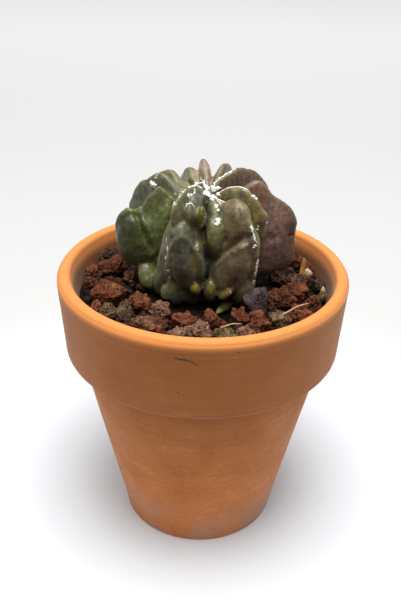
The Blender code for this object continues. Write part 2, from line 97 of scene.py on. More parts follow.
def points_tree(points: Sequence[Vector]) -> KDTree:
    """Build a search tree of points.

    Args:
        points: the points, which keep their numbers in the tree.

    Returns:
        The balanced tree.
    """
    tree = KDTree(len(points))
    for index, point in enumerate(points):
        tree.insert(point, index)
    tree.balance()
    return tree


def random_vector(rng: random.Random, size: float) -> Vector:
    """A vector with each part drawn between -size and size."""
    return Vector([rng.uniform(-size, size) for _ in range(3)])


def signed_power(value: float, power: float) -> float:
    """The value's size raised to a power, with its sign kept."""
    return math.copysign(abs(value) ** power, value)


def azimuth_vector(degrees: float) -> Vector:
    """Unit vector in plan for an azimuth."""
    angle = math.radians(degrees)
    return Vector((math.cos(angle), math.sin(angle), 0.0))


def across(way: Vector) -> Vector:
    """The level direction a quarter turn counterclockwise from another."""
    return Vector((-way.y, way.x, 0.0))


def facing(way: Vector) -> Matrix:
    """Turn that brings +Z to a direction."""
    return way.to_track_quat("Z", "Y").to_matrix()


def smooth_step(low: float, high: float, value: float) -> float:
    """0 below low, 1 above high, and an even S between."""
    t = min(1.0, max(0.0, (value - low) / (high - low)))
    return t * t * (3 - 2 * t)


def smooth_path(points: Sequence[Sequence[float]], place: float) -> Vector:
    """Point at a place of the smooth curve through a few points.

    Args:
        points: the points that the curve passes through.
        place: from 0 at the first point to 1 at the last, by length.

    Returns:
        The point there, with as many parts as the given ones.
    """
    spots = [Vector(p) for p in points]
    lengths = [(b - a).length for a, b in zip(spots, spots[1:])]
    travel = place * sum(lengths)
    index = 0
    while index < len(lengths) - 1 and travel > lengths[index]:
        travel -= lengths[index]
        index += 1
    t = min(1.0, travel / lengths[index])
    p1, p2 = spots[index], spots[index + 1]
    p0 = spots[index - 1] if index else 2 * p1 - p2
    p3 = spots[index + 2] if index + 2 < len(spots) else 2 * p2 - p1
    return 0.5 * (2 * p1 + (p2 - p0) * t + (2 * p0 - 5 * p1 + 4 * p2 - p3) * t * t
                  + (3 * p1 - p0 - 3 * p2 + p3) * t ** 3)


def arc(centre: tuple[float, float], radius: float, start: float, end: float,
        count: int) -> list[tuple[float, float]]:
    """Points of an arc in a profile's plane, from a start to an end angle in degrees."""
    angles = [math.radians(start + (end - start) * step / count) for step in range(count + 1)]
    return [(centre[0] + radius * math.cos(a), centre[1] + radius * math.sin(a)) for a in angles]


def subdivided(outline: Sequence[tuple[float, float]], spacing: float) -> list[Vector]:
    """The closed or open outline with extra points, so that none are further apart than spacing."""
    dense = [Vector(outline[0])]
    for a, b in zip(outline, outline[1:]):
        a, b = Vector(a), Vector(b)
        steps = max(1, math.ceil((b - a).length / spacing))
        dense += [a.lerp(b, step / steps) for step in range(1, steps + 1)]
    return dense


def spun(profile: Iterable[Sequence[float]], steps: int, closed: bool) -> Shape:
    """A full turn of a profile round the Z axis.

    Args:
        profile: (radius, height) points.
        steps: number of segments in the turn.
        closed: True joins the last point to the first.

    Returns:
        The turned shape, merged at its seam and poles, with its faces outwards.
    """
    bm = bmesh.new()
    verts = [bm.verts.new((max(0.0, radius), 0.0, height)) for radius, height in profile]
    pairs = list(zip(verts, verts[1:])) + ([(verts[-1], verts[0])] if closed else [])
    edges = [bm.edges.new(pair) for pair in pairs]
    bmesh.ops.spin(bm, geom=verts + edges, cent=(0, 0, 0), axis=(0, 0, 1), angle=2 * math.pi,
                   steps=steps, use_merge=True)
    bmesh.ops.remove_doubles(bm, verts=bm.verts, dist=MERGE)
    bmesh.ops.recalc_face_normals(bm, faces=bm.faces)
    return bm


def to_mesh(name: str, bm: Shape, smooth: bool = True) -> Mesh:
    """Turn a bmesh into a mesh and free it."""
    mesh = bpy.data.meshes.new(name)
    bm.to_mesh(mesh)
    bm.free()
    if smooth:
        mesh.shade_smooth()
    return mesh


def take_in(whole: Shape, part: Shape) -> None:
    """Add a part to a bmesh and free the part.

    Args:
        whole: the bmesh that grows.
        part: the bmesh that goes into it.
    """
    mesh = to_mesh("part", part)
    whole.from_mesh(mesh)
    bpy.data.meshes.remove(mesh)


def add_piece(name: str, mesh: Mesh, material: Material,
              replaces: Sequence[str] = ()) -> Piece:
    """Show a mesh as a piece of the object.

    Args:
        name: the piece's name.
        mesh: its mesh, in place.
        material: its finish.
        replaces: CAD nodes that the piece stands for.

    Returns:
        The piece's object, at the origin.
    """
    mesh.materials.clear()
    mesh.materials.append(material)
    piece = show(name, mesh)
    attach(piece, BODY)
    if replaces:
        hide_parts(*replaces)
    LOG.info("%-22s %7d triangles", name, sum(len(p.vertices) - 2 for p in mesh.polygons))
    return piece


def set_values(mesh: Mesh, name: str, values: Sequence[float]) -> None:
    """Store one number per vertex under a name."""
    attribute = mesh.attributes.new(name, "FLOAT", "POINT")
    attribute.data.foreach_set("value", list(values))


def set_colours(mesh: Mesh, name: str, colours: Sequence[Sequence[float]]) -> None:
    """Store one colour per vertex under a name."""
    attribute = mesh.attributes.new(name, "FLOAT_COLOR", "POINT")
    attribute.data.foreach_set("color", [part for c in colours for part in (*c[:3], 1.0)])


# ---- shader building ----

class Graph:
    """Short calls for adding nodes to one tree."""

    def __init__(self, tree: Tree) -> None:
        """Keep the tree that the nodes go to."""
        self.tree = tree

    def add(self, kind: str, inputs: dict | None = None, **settings: object) -> Node:
        """Add a shader node.

        Args:
            kind: the node type's name after ShaderNode.
            inputs: values or output sockets by input name or number.
            settings: the node's own properties.

        Returns:
            The new node.
        """
        node = self.tree.nodes.new("ShaderNode" + kind)
        for key, value in settings.items():
            setattr(node, key, value)
        return self._fed(node, inputs or {})

    def _fed(self, node: Node, inputs: dict) -> Node:
        """Give a node its values and links."""
        for key, value in inputs.items():
            if isinstance(value, Socket):
                self.tree.links.new(value, node.inputs[key])
            else:
                node.inputs[key].default_value = value
        return node

    def noise(self, vector: Socket, scale: float | Socket, detail: float = 2.0,
              roughness: float = 0.5, distortion: float = 0.0) -> Socket:
        """Value of a noise texture."""
        node = self.add("TexNoise", {"Vector": vector, "Scale": scale, "Detail": detail,
                                     "Roughness": roughness, "Distortion": distortion})
        return node.outputs["Fac"]

    def cells(self, vector: Socket, scale: float | Socket) -> Socket:
        """Distance to the nearest cell of a Voronoi texture."""
        return self.add("TexVoronoi", {"Vector": vector, "Scale": scale}).outputs["Distance"]

    def span(self, value: Socket, low: float, high: float, to_low: float = 0.0,
             to_high: float = 1.0) -> Socket:
        """Value brought smoothly from one range to another and held there."""
        node = self.add("MapRange", {"Value": value, "From Min": low, "From Max": high,
                                     "To Min": to_low, "To Max": to_high},
                        interpolation_type="SMOOTHSTEP")
        return node.outputs["Result"]

    def math(self, operation: str, first: object, second: object = 0.0) -> Socket:
        """Result of a math node on two values or sockets."""
        return self.add("Math", {0: first, 1: second}, operation=operation).outputs[0]

    def times(self, first: object, second: object) -> Socket:
        """Product of two values or sockets."""
        return self.math("MULTIPLY", first, second)

    def vector(self, operation: str, first: object, second: object) -> Node:
        """A vector math node on two vectors or sockets."""
        return self.add("VectorMath", {0: first, 1: second}, operation=operation)

    def length(self, vector: Socket) -> Socket:
        """Length of a vector."""
        return self.add("VectorMath", {0: vector}, operation="LENGTH").outputs["Value"]

    def place(self) -> Socket:
        """Point in the object's own axes."""
        return self.add("TexCoord").outputs["Object"]

    def part(self, vector: Socket, axis: str) -> Socket:
        """One part of a vector."""
        return self.add("SeparateXYZ", {0: vector}).outputs[axis]

    def streaks(self, vector: Socket, scale: Point, roughness: float,
                distortion: float = 0.0) -> Socket:
        """Noise that is drawn out by a scale for each axis."""
        drawn = self.add("Mapping", {"Vector": vector, "Scale": scale}).outputs[0]
        return self.noise(drawn, 1.0, 3.0, roughness, distortion)

    def specks(self, vector: Socket, scale: float, size: float, spread: float,
               rarity: float) -> Socket:
        """Mask of small round specks.

        Args:
            vector: point that the mask is for.
            scale: how close the specks are.
            size: share of its cell that a speck fills.
            spread: scale of the areas with specks.
            rarity: noise value that such an area starts at.

        Returns:
            The mask.
        """
        spots = self.span(self.cells(vector, scale), size + 0.12, size)
        areas = self.noise(vector, spread, 2.0)
        return self.times(spots, self.span(areas, rarity, rarity + 0.1))

    def mix(self, factor: object, first: object, second: object,
            blend: str = "MIX") -> Socket:
        """Colour mixed from two colours or sockets."""
        first, second = (c if isinstance(c, Socket) else (*c, 1.0)
                         for c in (first, second))
        node = self.add("Mix", {0: factor, 6: first, 7: second}, data_type="RGBA",
                        blend_type=blend)
        return node.outputs[2]

    def toned(self, share: float, colour: Socket, value: Socket, low: Colour,
              high: Colour) -> Socket:
        """Colour multiplied, by a share, by a tone that follows a value."""
        return self.mix(share, colour, self.mix(value, low, high), "MULTIPLY")

    def attribute(self, name: str, output: str = "Fac") -> Socket:
        """Output of a stored attribute."""
        return self.add("Attribute", attribute_name=name).outputs[output]

    def group(self, made: Tree, inputs: dict) -> Node:
        """Place a shader group with its own values."""
        node = self.tree.nodes.new("ShaderNodeGroup")
        node.node_tree = made
        return self._fed(node, inputs)

    def lead(self, value: Socket, node: Node, key: str) -> None:
        """Link a value to a node's input."""
        self.tree.links.new(value, node.inputs[key])


class SharedEffects:
    """Shader groups that several finishes use, each built once."""

    _made: dict[str, Tree] = {}

    @classmethod
    def _group(cls, name: str, inputs: dict[str, str], outputs: dict[str, str],
               build: Callable[[Graph, Node, Node], None]) -> Tree:
        """Make a group on first use.

        Args:
            name: the group's name.
            inputs: socket type by input name.
            outputs: socket type by output name.
            build: fills the group, given its graph, input node and output node.

        Returns:
            The group's node tree.
        """
        if name not in cls._made:
            tree = bpy.data.node_groups.new(name, "ShaderNodeTree")
            for in_out, sockets in (("INPUT", inputs), ("OUTPUT", outputs)):
                for socket, kind in sockets.items():
                    tree.interface.new_socket(socket, in_out=in_out,
                                              socket_type="NodeSocket" + kind)
            graph = Graph(tree)
            entry, leave = tree.nodes.new("NodeGroupInput"), tree.nodes.new("NodeGroupOutput")
            build(graph, entry, leave)
            cls._made[name] = tree
        return cls._made[name]

    @classmethod
    def mottle(cls) -> Tree:
        """Colour that wanders between a dark, a middle and a light tone at two scales."""
        def build(g: Graph, entry: Node, leave: Node) -> None:
            """Fill the group."""
            sockets = entry.outputs
            broad = g.noise(sockets["Vector"], sockets["Scale"], 3.0, 0.6)
            fine = g.noise(sockets["Vector"], g.times(sockets["Scale"], 7.3), 4.0, 0.7)
            share = g.math("ADD", g.times(broad, 0.6), g.times(fine, 0.4))
            darker = g.span(share, 0.5, 0.34)
            lighter = g.span(share, 0.5, 0.66)
            colour = g.mix(darker, sockets["Middle"], sockets["Dark"])
            g.lead(g.mix(lighter, colour, sockets["Light"]), leave, "Colour")
            g.lead(share, leave, "Value")
        return cls._group("mottle", {"Vector": "Vector", "Scale": "Float", "Dark": "Color",
                                     "Middle": "Color", "Light": "Color"},
                          {"Colour": "Color", "Value": "Float"}, build)

    @classmethod
    def grain(cls) -> Tree:
        """Fine surface relief: a soft grain with small pits."""
        def build(g: Graph, entry: Node, leave: Node) -> None:
            """Fill the group."""
            sockets = entry.outputs
            soft = g.noise(sockets["Vector"], sockets["Scale"], 5.0, 0.65)
            pit = g.span(g.cells(sockets["Vector"], g.times(sockets["Scale"], 0.6)), 0.28, 0.05)
            height = g.math("SUBTRACT", soft, g.times(pit, sockets["Pits"]))
            g.lead(height, leave, "Height")
            g.lead(pit, leave, "Pit")
        return cls._group("grain", {"Vector": "Vector", "Scale": "Float", "Pits": "Float"},
                          {"Height": "Float", "Pit": "Float"}, build)

    @classmethod
    def stroke(cls) -> Tree:
        """Mask of a short mark with ragged edges, between two points."""
        def build(g: Graph, entry: Node, leave: Node) -> None:
            """Fill the group."""
            sockets = entry.outputs
            along = g.vector("SUBTRACT", sockets["End"], sockets["Start"]).outputs[0]
            away = g.vector("SUBTRACT", sockets["Vector"], sockets["Start"]).outputs[0]
            reach = g.vector("DOT_PRODUCT", away, along)
            length = g.vector("DOT_PRODUCT", along, along)
            place = g.add("Math", {0: reach.outputs["Value"], 1: length.outputs["Value"]},
                          operation="DIVIDE", use_clamp=True).outputs[0]
            nearest = g.add("VectorMath", {0: along, "Scale": place}, operation="SCALE")
            gap = g.vector("DISTANCE", away, nearest.outputs[0])
            ragged = g.noise(sockets["Vector"], 1400.0, 3.0)
            width = g.times(sockets["Width"], g.span(ragged, 0.3, 0.7, 0.2, 1.4))
            share = g.math("DIVIDE", gap.outputs["Value"], width)
            g.lead(g.span(share, 1.0, 0.5), leave, "Mask")
        return cls._group("stroke", {"Vector": "Vector", "Start": "Vector", "End": "Vector",
                                     "Width": "Float"}, {"Mask": "Float"}, build)


def mottled(g: Graph, place: Socket, scale: float, finish: object) -> Node:
    """Place the mottle in a finish's dark, middle and light colours."""
    return g.group(SharedEffects.mottle(), {
        "Vector": place, "Scale": scale, "Dark": (*finish.dark, 1),
        "Middle": (*finish.middle, 1), "Light": (*finish.light, 1)})


def grained(g: Graph, place: Socket, scale: float, pits: float) -> Node:
    """Place the grain with its scale and the depth of its pits."""
    return g.group(SharedEffects.grain(), {"Vector": place, "Scale": scale, "Pits": pits})


def new_material(name: str, settings: dict[str, object]) -> tuple[Material, Graph, Node]:
    """A material with its Principled shader.

    Args:
        name: the material's name.
        settings: constant values by the shader's input name.

    Returns:
        The material, its graph and its Principled node.
    """
    material = bpy.data.materials.new(name)
    material.use_nodes = True
    shader = material.node_tree.nodes["Principled BSDF"]
    for key, value in settings.items():
        shader.inputs[key].default_value = value
    return material, Graph(material.node_tree), shader


def connect(graph: Graph, shader: Node, colour: Socket, roughness: Socket, height: Socket,
            distance: float, strength: float = 1.0) -> None:
    """Wire a colour, a roughness and a relief into a Principled shader.

    Args:
        graph: the material's graph.
        shader: its Principled node.
        colour: goes to Base Color.
        roughness: goes to Roughness.
        height: relief for a Bump node.
        distance: depth in metres that a relief of 1 stands for.
        strength: share of the relief that shows.
    """
    graph.lead(colour, shader, "Base Color")
    graph.lead(roughness, shader, "Roughness")
    bump = graph.add("Bump", {"Height": height, "Distance": distance, "Strength": strength})
    graph.lead(bump.outputs["Normal"], shader, "Normal")


# ---- finishes ----

@dataclass(frozen=True)
class ClayFinish:
    """Unglazed terracotta: mottled, fine grained, faintly ringed, mauve towards the foot, with painted
    shade on the collar and on the inner wall above the soil, and a painted highlight on the lip.
    """

    dark: Colour = (0.49, 0.145, 0.030)
    middle: Colour = (0.59, 0.185, 0.038)
    light: Colour = (0.68, 0.230, 0.052)
    # collar: painted shade for the clay above the collar's foot; the throwing rings also darken towards
    # it
    collar: Colour = (0.405, 0.143, 0.046)
    # lip: painted highlight, lighter than the clay below
    lip: Colour = (0.78, 0.284, 0.074)
    # painted shade on the inner wall where it meets the soil
    wall_shade: Colour = (0.085, 0.030, 0.008)
    bloom: Colour = (0.42, 0.215, 0.150)
    mark: Colour = (0.035, 0.022, 0.018)
    smudge: Colour = (0.30, 0.12, 0.05)
    roughness: float = 0.72
    mottle_scale: float = 75.0
    grain_scale: float = 1500.0
    ring_scale: Point = (14.0, 14.0, 900.0)
    patch_scale: float = 55.0
    speck_scale: float = 420.0
    relief_depth: float = 0.09 * MM
    bloom_top: float = 28 * MM
    bloom_full: float = 2 * MM
    wall_shade_top: float = 101.2 * MM
    wall_shade_full: float = 97.6 * MM
    wall_shade_foot: float = 80 * MM
    wall_reach: float = 48.9 * MM       # the painted shade is on the wall inside this radius
    collar_shade_share: float = 0.55
    lip_highlight_share: float = 0.8
    bloom_share: float = 0.75
    wall_shade_share: float = 0.85
    speck_share: float = 0.55

    def material(self, collar_foot: float, lip_foot: float,
                 marks: Sequence["ClayMark"]) -> Material:
        """Build the material.

        Args:
            collar_foot: height where the collar starts.
            lip_foot: height where the lip starts.
            marks: small dark marks on the clay.

        Returns:
            The terracotta material.
        """
        material, g, shader = new_material(
            "terracotta", {"IOR": 1.45, "Specular IOR Level": 0.3, "Sheen Weight": 0.16,
                           "Sheen Roughness": 0.45, "Sheen Tint": (1.0, 0.85, 0.7, 1.0)})
        place = g.place()
        height = g.part(place, "Z")
        mottle = mottled(g, place, self.mottle_scale, self)
        rings = g.streaks(place, self.ring_scale, 0.55)
        # the rings darken towards the collar colour, the colour of the painted collar shade
        colour = g.mix(g.span(rings, 0.35, 0.7, 0.0, 0.35), mottle.outputs["Colour"],
                       self.collar)
        # painted shade: above the collar's foot the clay is darkened towards the collar colour
        collar_shade_mask = g.span(height, collar_foot - 0.5 * MM, collar_foot + 2 * MM, 0.0,
                           self.collar_shade_share)
        colour = g.mix(collar_shade_mask, colour, self.collar)
        # painted highlight: the lip's top is lightened towards the lip colour
        lip_highlight_mask = g.span(height, lip_foot - 2.5 * MM, lip_foot + 0.8 * MM, 0.0, self.lip_highlight_share)
        colour = g.mix(lip_highlight_mask, colour, self.lip)
        patchy = g.noise(place, self.patch_scale, 4.0, 0.6)
        low = g.times(g.span(height, self.bloom_top, self.bloom_full),
                      g.span(patchy, 0.35, 0.62))
        colour = g.mix(g.times(low, self.bloom_share), colour, self.bloom)
        grain = grained(g, place, self.grain_scale, 0.5)
        specks = g.specks(place, self.speck_scale, 0.08, 160.0, 0.56)
        colour = g.mix(g.times(specks, self.speck_share), colour, self.smudge)
        plan = g.vector("MULTIPLY", place, (1.0, 1.0, 0.0)).outputs[0]
        reach = g.length(plan)
        # painted shade on the inner wall just above the soil, inside the wall's radius and above the
        # collar's inside
        wall_shade_mask = g.times(g.span(height, self.wall_shade_top, self.wall_shade_full),
                         g.span(height, self.wall_shade_foot, self.wall_shade_foot + 2 * MM))
        wall_shade_mask = g.times(wall_shade_mask, g.span(reach, self.wall_reach, self.wall_reach - 1 * MM))
        colour = g.mix(g.times(wall_shade_mask, self.wall_shade_share), colour, self.wall_shade)
        for mark in marks:
            mask = g.group(SharedEffects.stroke(), {
                "Vector": place, "Start": mark.start(), "End": mark.end(),
                "Width": mark.width * MM}).outputs["Mask"]
            colour = g.mix(g.times(mask, mark.strength), colour,
                           self.mark if mark.dark else self.smudge)
        relief = g.math("ADD", grain.outputs["Height"], g.times(rings, 1.6))
        roughness = g.span(mottle.outputs["Value"], 0.3, 0.7, self.roughness + 0.1,
                           self.roughness - 0.08)
        connect(g, shader, colour, roughness, relief, self.relief_depth, 0.8)
        return material


@dataclass(frozen=True)
class SkinFinish:
    """Waxy cactus skin, tinted by the "tint", "edge" and "hollow" values of its mesh, with painted
    highlights along the rib edges and painted shade in the hollows.
    """

    # lighter rib edges: part their own colour, part painted highlight
    edge: Colour = (0.200, 0.185, 0.080)
    # amber in the hollows: part the skin's own tint, part painted shade
    hollow: Colour = (0.070, 0.056, 0.008)
    # painted shade in the deepest hollows
    deep_shade: Colour = (0.006, 0.005, 0.003)
    fleck: Colour = (0.42, 0.38, 0.30)
    roughness: float = 0.36
    blotch_scale: float = 210.0
    speckle_scale: float = 900.0
    streak_scale: Point = (1100.0, 1100.0, 210.0)
    fleck_scale: float = 1300.0
    relief_depth: float = 0.05 * MM

    def material(self) -> Material:
        """Build the material."""
        material, g, shader = new_material(
            "cactus_skin", {"IOR": 1.42, "Specular IOR Level": 0.5, "Coat Weight": 0.15,
                            "Coat Roughness": 0.18, "Sheen Weight": 0.12,
                            "Sheen Roughness": 0.5})
        place = g.place()
        tint = g.attribute("tint", "Color")
        edge, hollow = g.attribute("edge"), g.attribute("hollow")
        blotch = g.span(g.noise(place, self.blotch_scale, 4.0, 0.6, 0.6), 0.3, 0.7)
        colour = g.toned(0.8, tint, blotch, (0.47, 0.53, 0.48), (1.48, 1.36, 1.32))
        speckle = g.span(g.noise(place, self.speckle_scale, 3.0, 0.7), 0.3, 0.7)
        colour = g.toned(0.6, colour, speckle, (0.62,) * 3, (1.5,) * 3)
        # painted highlight along the rib edges, in part their own lighter colour
        colour = g.mix(g.times(edge, 0.45), colour, self.edge)
        # painted shade in the hollows: amber, then near black in the deepest
        colour = g.mix(g.span(hollow, 0.08, 0.55, 0.0, 0.75), colour, self.hollow)
        colour = g.mix(g.span(hollow, 0.45, 0.9, 0.0, 0.95), colour, self.deep_shade)
        streak = g.streaks(place, self.streak_scale, 0.6, 0.5)
        colour = g.toned(0.5, colour, g.span(streak, 0.3, 0.7), (0.62,) * 3, (1.4,) * 3)
        flecks = g.specks(place, self.fleck_scale, 0.1, 110.0, 0.58)
        colour = g.mix(g.times(flecks, 0.4), colour, self.fleck)
        relief = g.math("ADD", speckle, g.times(streak, 1.2))
        roughness = g.span(speckle, 0.0, 1.0, self.roughness + 0.12, self.roughness - 0.06)
        connect(g, shader, colour, roughness, relief, self.relief_depth, 0.7)
        return material


@dataclass(frozen=True)
class WoolFinish:
    """White felted wool of the areoles, also used for the white tufts painted as glints."""

    light: Colour = (0.93, 0.92, 0.88)
    dark: Colour = (0.70, 0.67, 0.58)
    fibre_scale: float = 2600.0
    relief_depth: float = 0.12 * MM

    def material(self) -> Material:
        """Build the material."""
        material, g, shader = new_material(
            "areole_wool_and_glints", {"Sheen Weight": 0.6, "Sheen Roughness": 0.4,
                            "Specular IOR Level": 0.2})
        place = g.place()
        fibre = g.noise(place, self.fibre_scale, 4.0, 0.7, 1.2)
        colour = g.mix(g.span(fibre, 0.3, 0.6), self.dark, self.light)
        roughness = g.span(fibre, 0.0, 1.0, 0.7, 1.0)
        connect(g, shader, colour, roughness, fibre, self.relief_depth)
        return material


@dataclass(frozen=True)
class RockFinish:
    """Rough volcanic stone, with painted shade in its pores and low down, and painted highlights on its
    crests and raised grain.
    """

    name: str
    dark: Colour
    middle: Colour
    light: Colour
    roughness: float = 0.9
    grain_depth: float = 0.55 * MM
    pores: float = 1.0
    mottle_scale: float = 140.0
    coarse_scale: float = 950.0
    fine_scale: float = 2300.0
    shade_top: float = 98.4 * MM
    shade_full: float = 95.2 * MM

    def material(self) -> Material:
        """Build the material."""
        material, g, shader = new_material(self.name, {"Specular IOR Level": 0.2})
        place = g.place()
        pore, crest_highlight = g.attribute("pore"), g.attribute("crest_highlight")
        mottle = mottled(g, place, self.mottle_scale, self)
        coarse = grained(g, place, self.coarse_scale, 1.0)
        fine = grained(g, place, self.fine_scale, 0.8)
        # painted highlight on the raised crests
        colour = g.mix(g.times(crest_highlight, 0.55), mottle.outputs["Colour"], self.light)
        # painted shade in the pores and pits
        pits = g.math("MAXIMUM", coarse.outputs["Pit"],
                      g.times(fine.outputs["Pit"], 0.7))
        pore_shade_mask = g.math("MAXIMUM", g.times(pits, self.pores), pore)
        shade = tuple(0.10 * part for part in self.dark)
        colour = g.mix(g.times(pore_shade_mask, 0.95), colour, shade)
        # painted highlight on the raised grain
        grain_highlight = g.span(coarse.outputs["Height"], 0.50, 0.75, 0.0, 0.6)
        colour = g.mix(grain_highlight, colour, self.light)
        # painted shade on the stones low down in the pot
        low = g.span(g.part(place, "Z"), self.shade_top, self.shade_full, 0.0, 0.93)
        colour = g.mix(low, colour, shade)
        roughness = g.span(mottle.outputs["Value"], 0.3, 0.7, self.roughness,
                           self.roughness - 0.15)
        relief = g.math("ADD", coarse.outputs["Height"],
                        g.times(fine.outputs["Height"], 0.5))
        connect(g, shader, colour, roughness, relief, self.grain_depth)
        return material


@dataclass(frozen=True)
class SoilFinish:
    """Dark moist peat with lighter crumbs; its near-black tones are part the peat's own colour and part
    painted shade.
    """

    # near-black peat colours, part its own and part painted shade
    dark: Colour = (0.003, 0.002, 0.002)
    middle: Colour = (0.008, 0.005, 0.004)
    light: Colour = (0.045, 0.024, 0.013)
    mottle_scale: float = 320.0
    grain_scale: float = 1300.0
    relief_depth: float = 0.35 * MM

    def material(self) -> Material:
        """Build the material."""
        material, g, shader = new_material("peat", {"Specular IOR Level": 0.08})
        place = g.place()
        mottle = mottled(g, place, self.mottle_scale, self)
        grain = grained(g, place, self.grain_scale, 0.6)
        roughness = g.span(mottle.outputs["Value"], 0.3, 0.7, 0.95, 0.7)
        connect(g, shader, mottle.outputs["Colour"], roughness, grain.outputs["Height"],
                self.relief_depth)
        return material


@dataclass(frozen=True)
class DryPlantFinish:
    """Dry woody fibre, streaked along its length."""

    name: str
    dark: Colour
    light: Colour
    streak_scale: Point = (1800.0, 1800.0, 260.0)
    relief_depth: float = 0.1 * MM

    def material(self) -> Material:
        """Build the material."""
        material, g, shader = new_material(self.name, {"Specular IOR Level": 0.4})
        place = g.place()
        streak = g.streaks(place, self.streak_scale, 0.6)
        colour = g.mix(g.span(streak, 0.35, 0.65), self.dark, self.light)
        roughness = g.span(streak, 0.3, 0.7, 0.75, 0.5)
        connect(g, shader, colour, roughness, streak, self.relief_depth)
        return material


class Rock(Enum):
    """The kinds of stone in the top dressing."""

    RED = RockFinish("red_lava", (0.020, 0.006, 0.003), (0.074, 0.020, 0.008),
                     (0.215, 0.066, 0.027))
    RUST = RockFinish("rust_lava", (0.030, 0.008, 0.003), (0.104, 0.028, 0.010),
                      (0.265, 0.090, 0.036))
    BROWN = RockFinish("brown_lava", (0.012, 0.006, 0.004), (0.042, 0.019, 0.012),
                       (0.150, 0.072, 0.045))
    TAN = RockFinish("tan_lava", (0.032, 0.012, 0.006), (0.105, 0.043, 0.021),
                     (0.290, 0.145, 0.080))
    MAUVE = RockFinish("mauve_lava", (0.040, 0.017, 0.011), (0.150, 0.068, 0.042),
                       (0.400, 0.215, 0.150))
    OLIVE = RockFinish("olive_pumice", (0.020, 0.012, 0.005), (0.074, 0.044, 0.018),
                       (0.240, 0.160, 0.075))
    GREY = RockFinish("grey_stone", (0.014, 0.009, 0.009), (0.044, 0.029, 0.029),
                      (0.140, 0.092, 0.088), roughness=0.65, grain_depth=0.20 * MM, pores=0.4)
    PALE = RockFinish("pale_grit", (0.30, 0.16, 0.075), (0.52, 0.34, 0.19),
                      (0.72, 0.55, 0.38), roughness=0.6, grain_depth=0.08 * MM, pores=0.1)


# ---- the pot ----

@dataclass(frozen=True)
class ClayMark:
    """A small mark on the clay between two (azimuth, height, radius) points; all in mm."""

    first: Point
    last: Point
    width: float
    strength: float = 0.8
    dark: bool = True

    @staticmethod
    def _spot(place: Point) -> Vector:
        """The point in the frame."""
        azimuth, height, radius = place
        return azimuth_vector(azimuth) * radius * MM + UP * (height * MM)

    def start(self) -> Vector:
        """Where the mark begins."""
        return self._spot(self.first)

    def end(self) -> Vector:
        """Where the mark ends."""
        return self._spot(self.last)


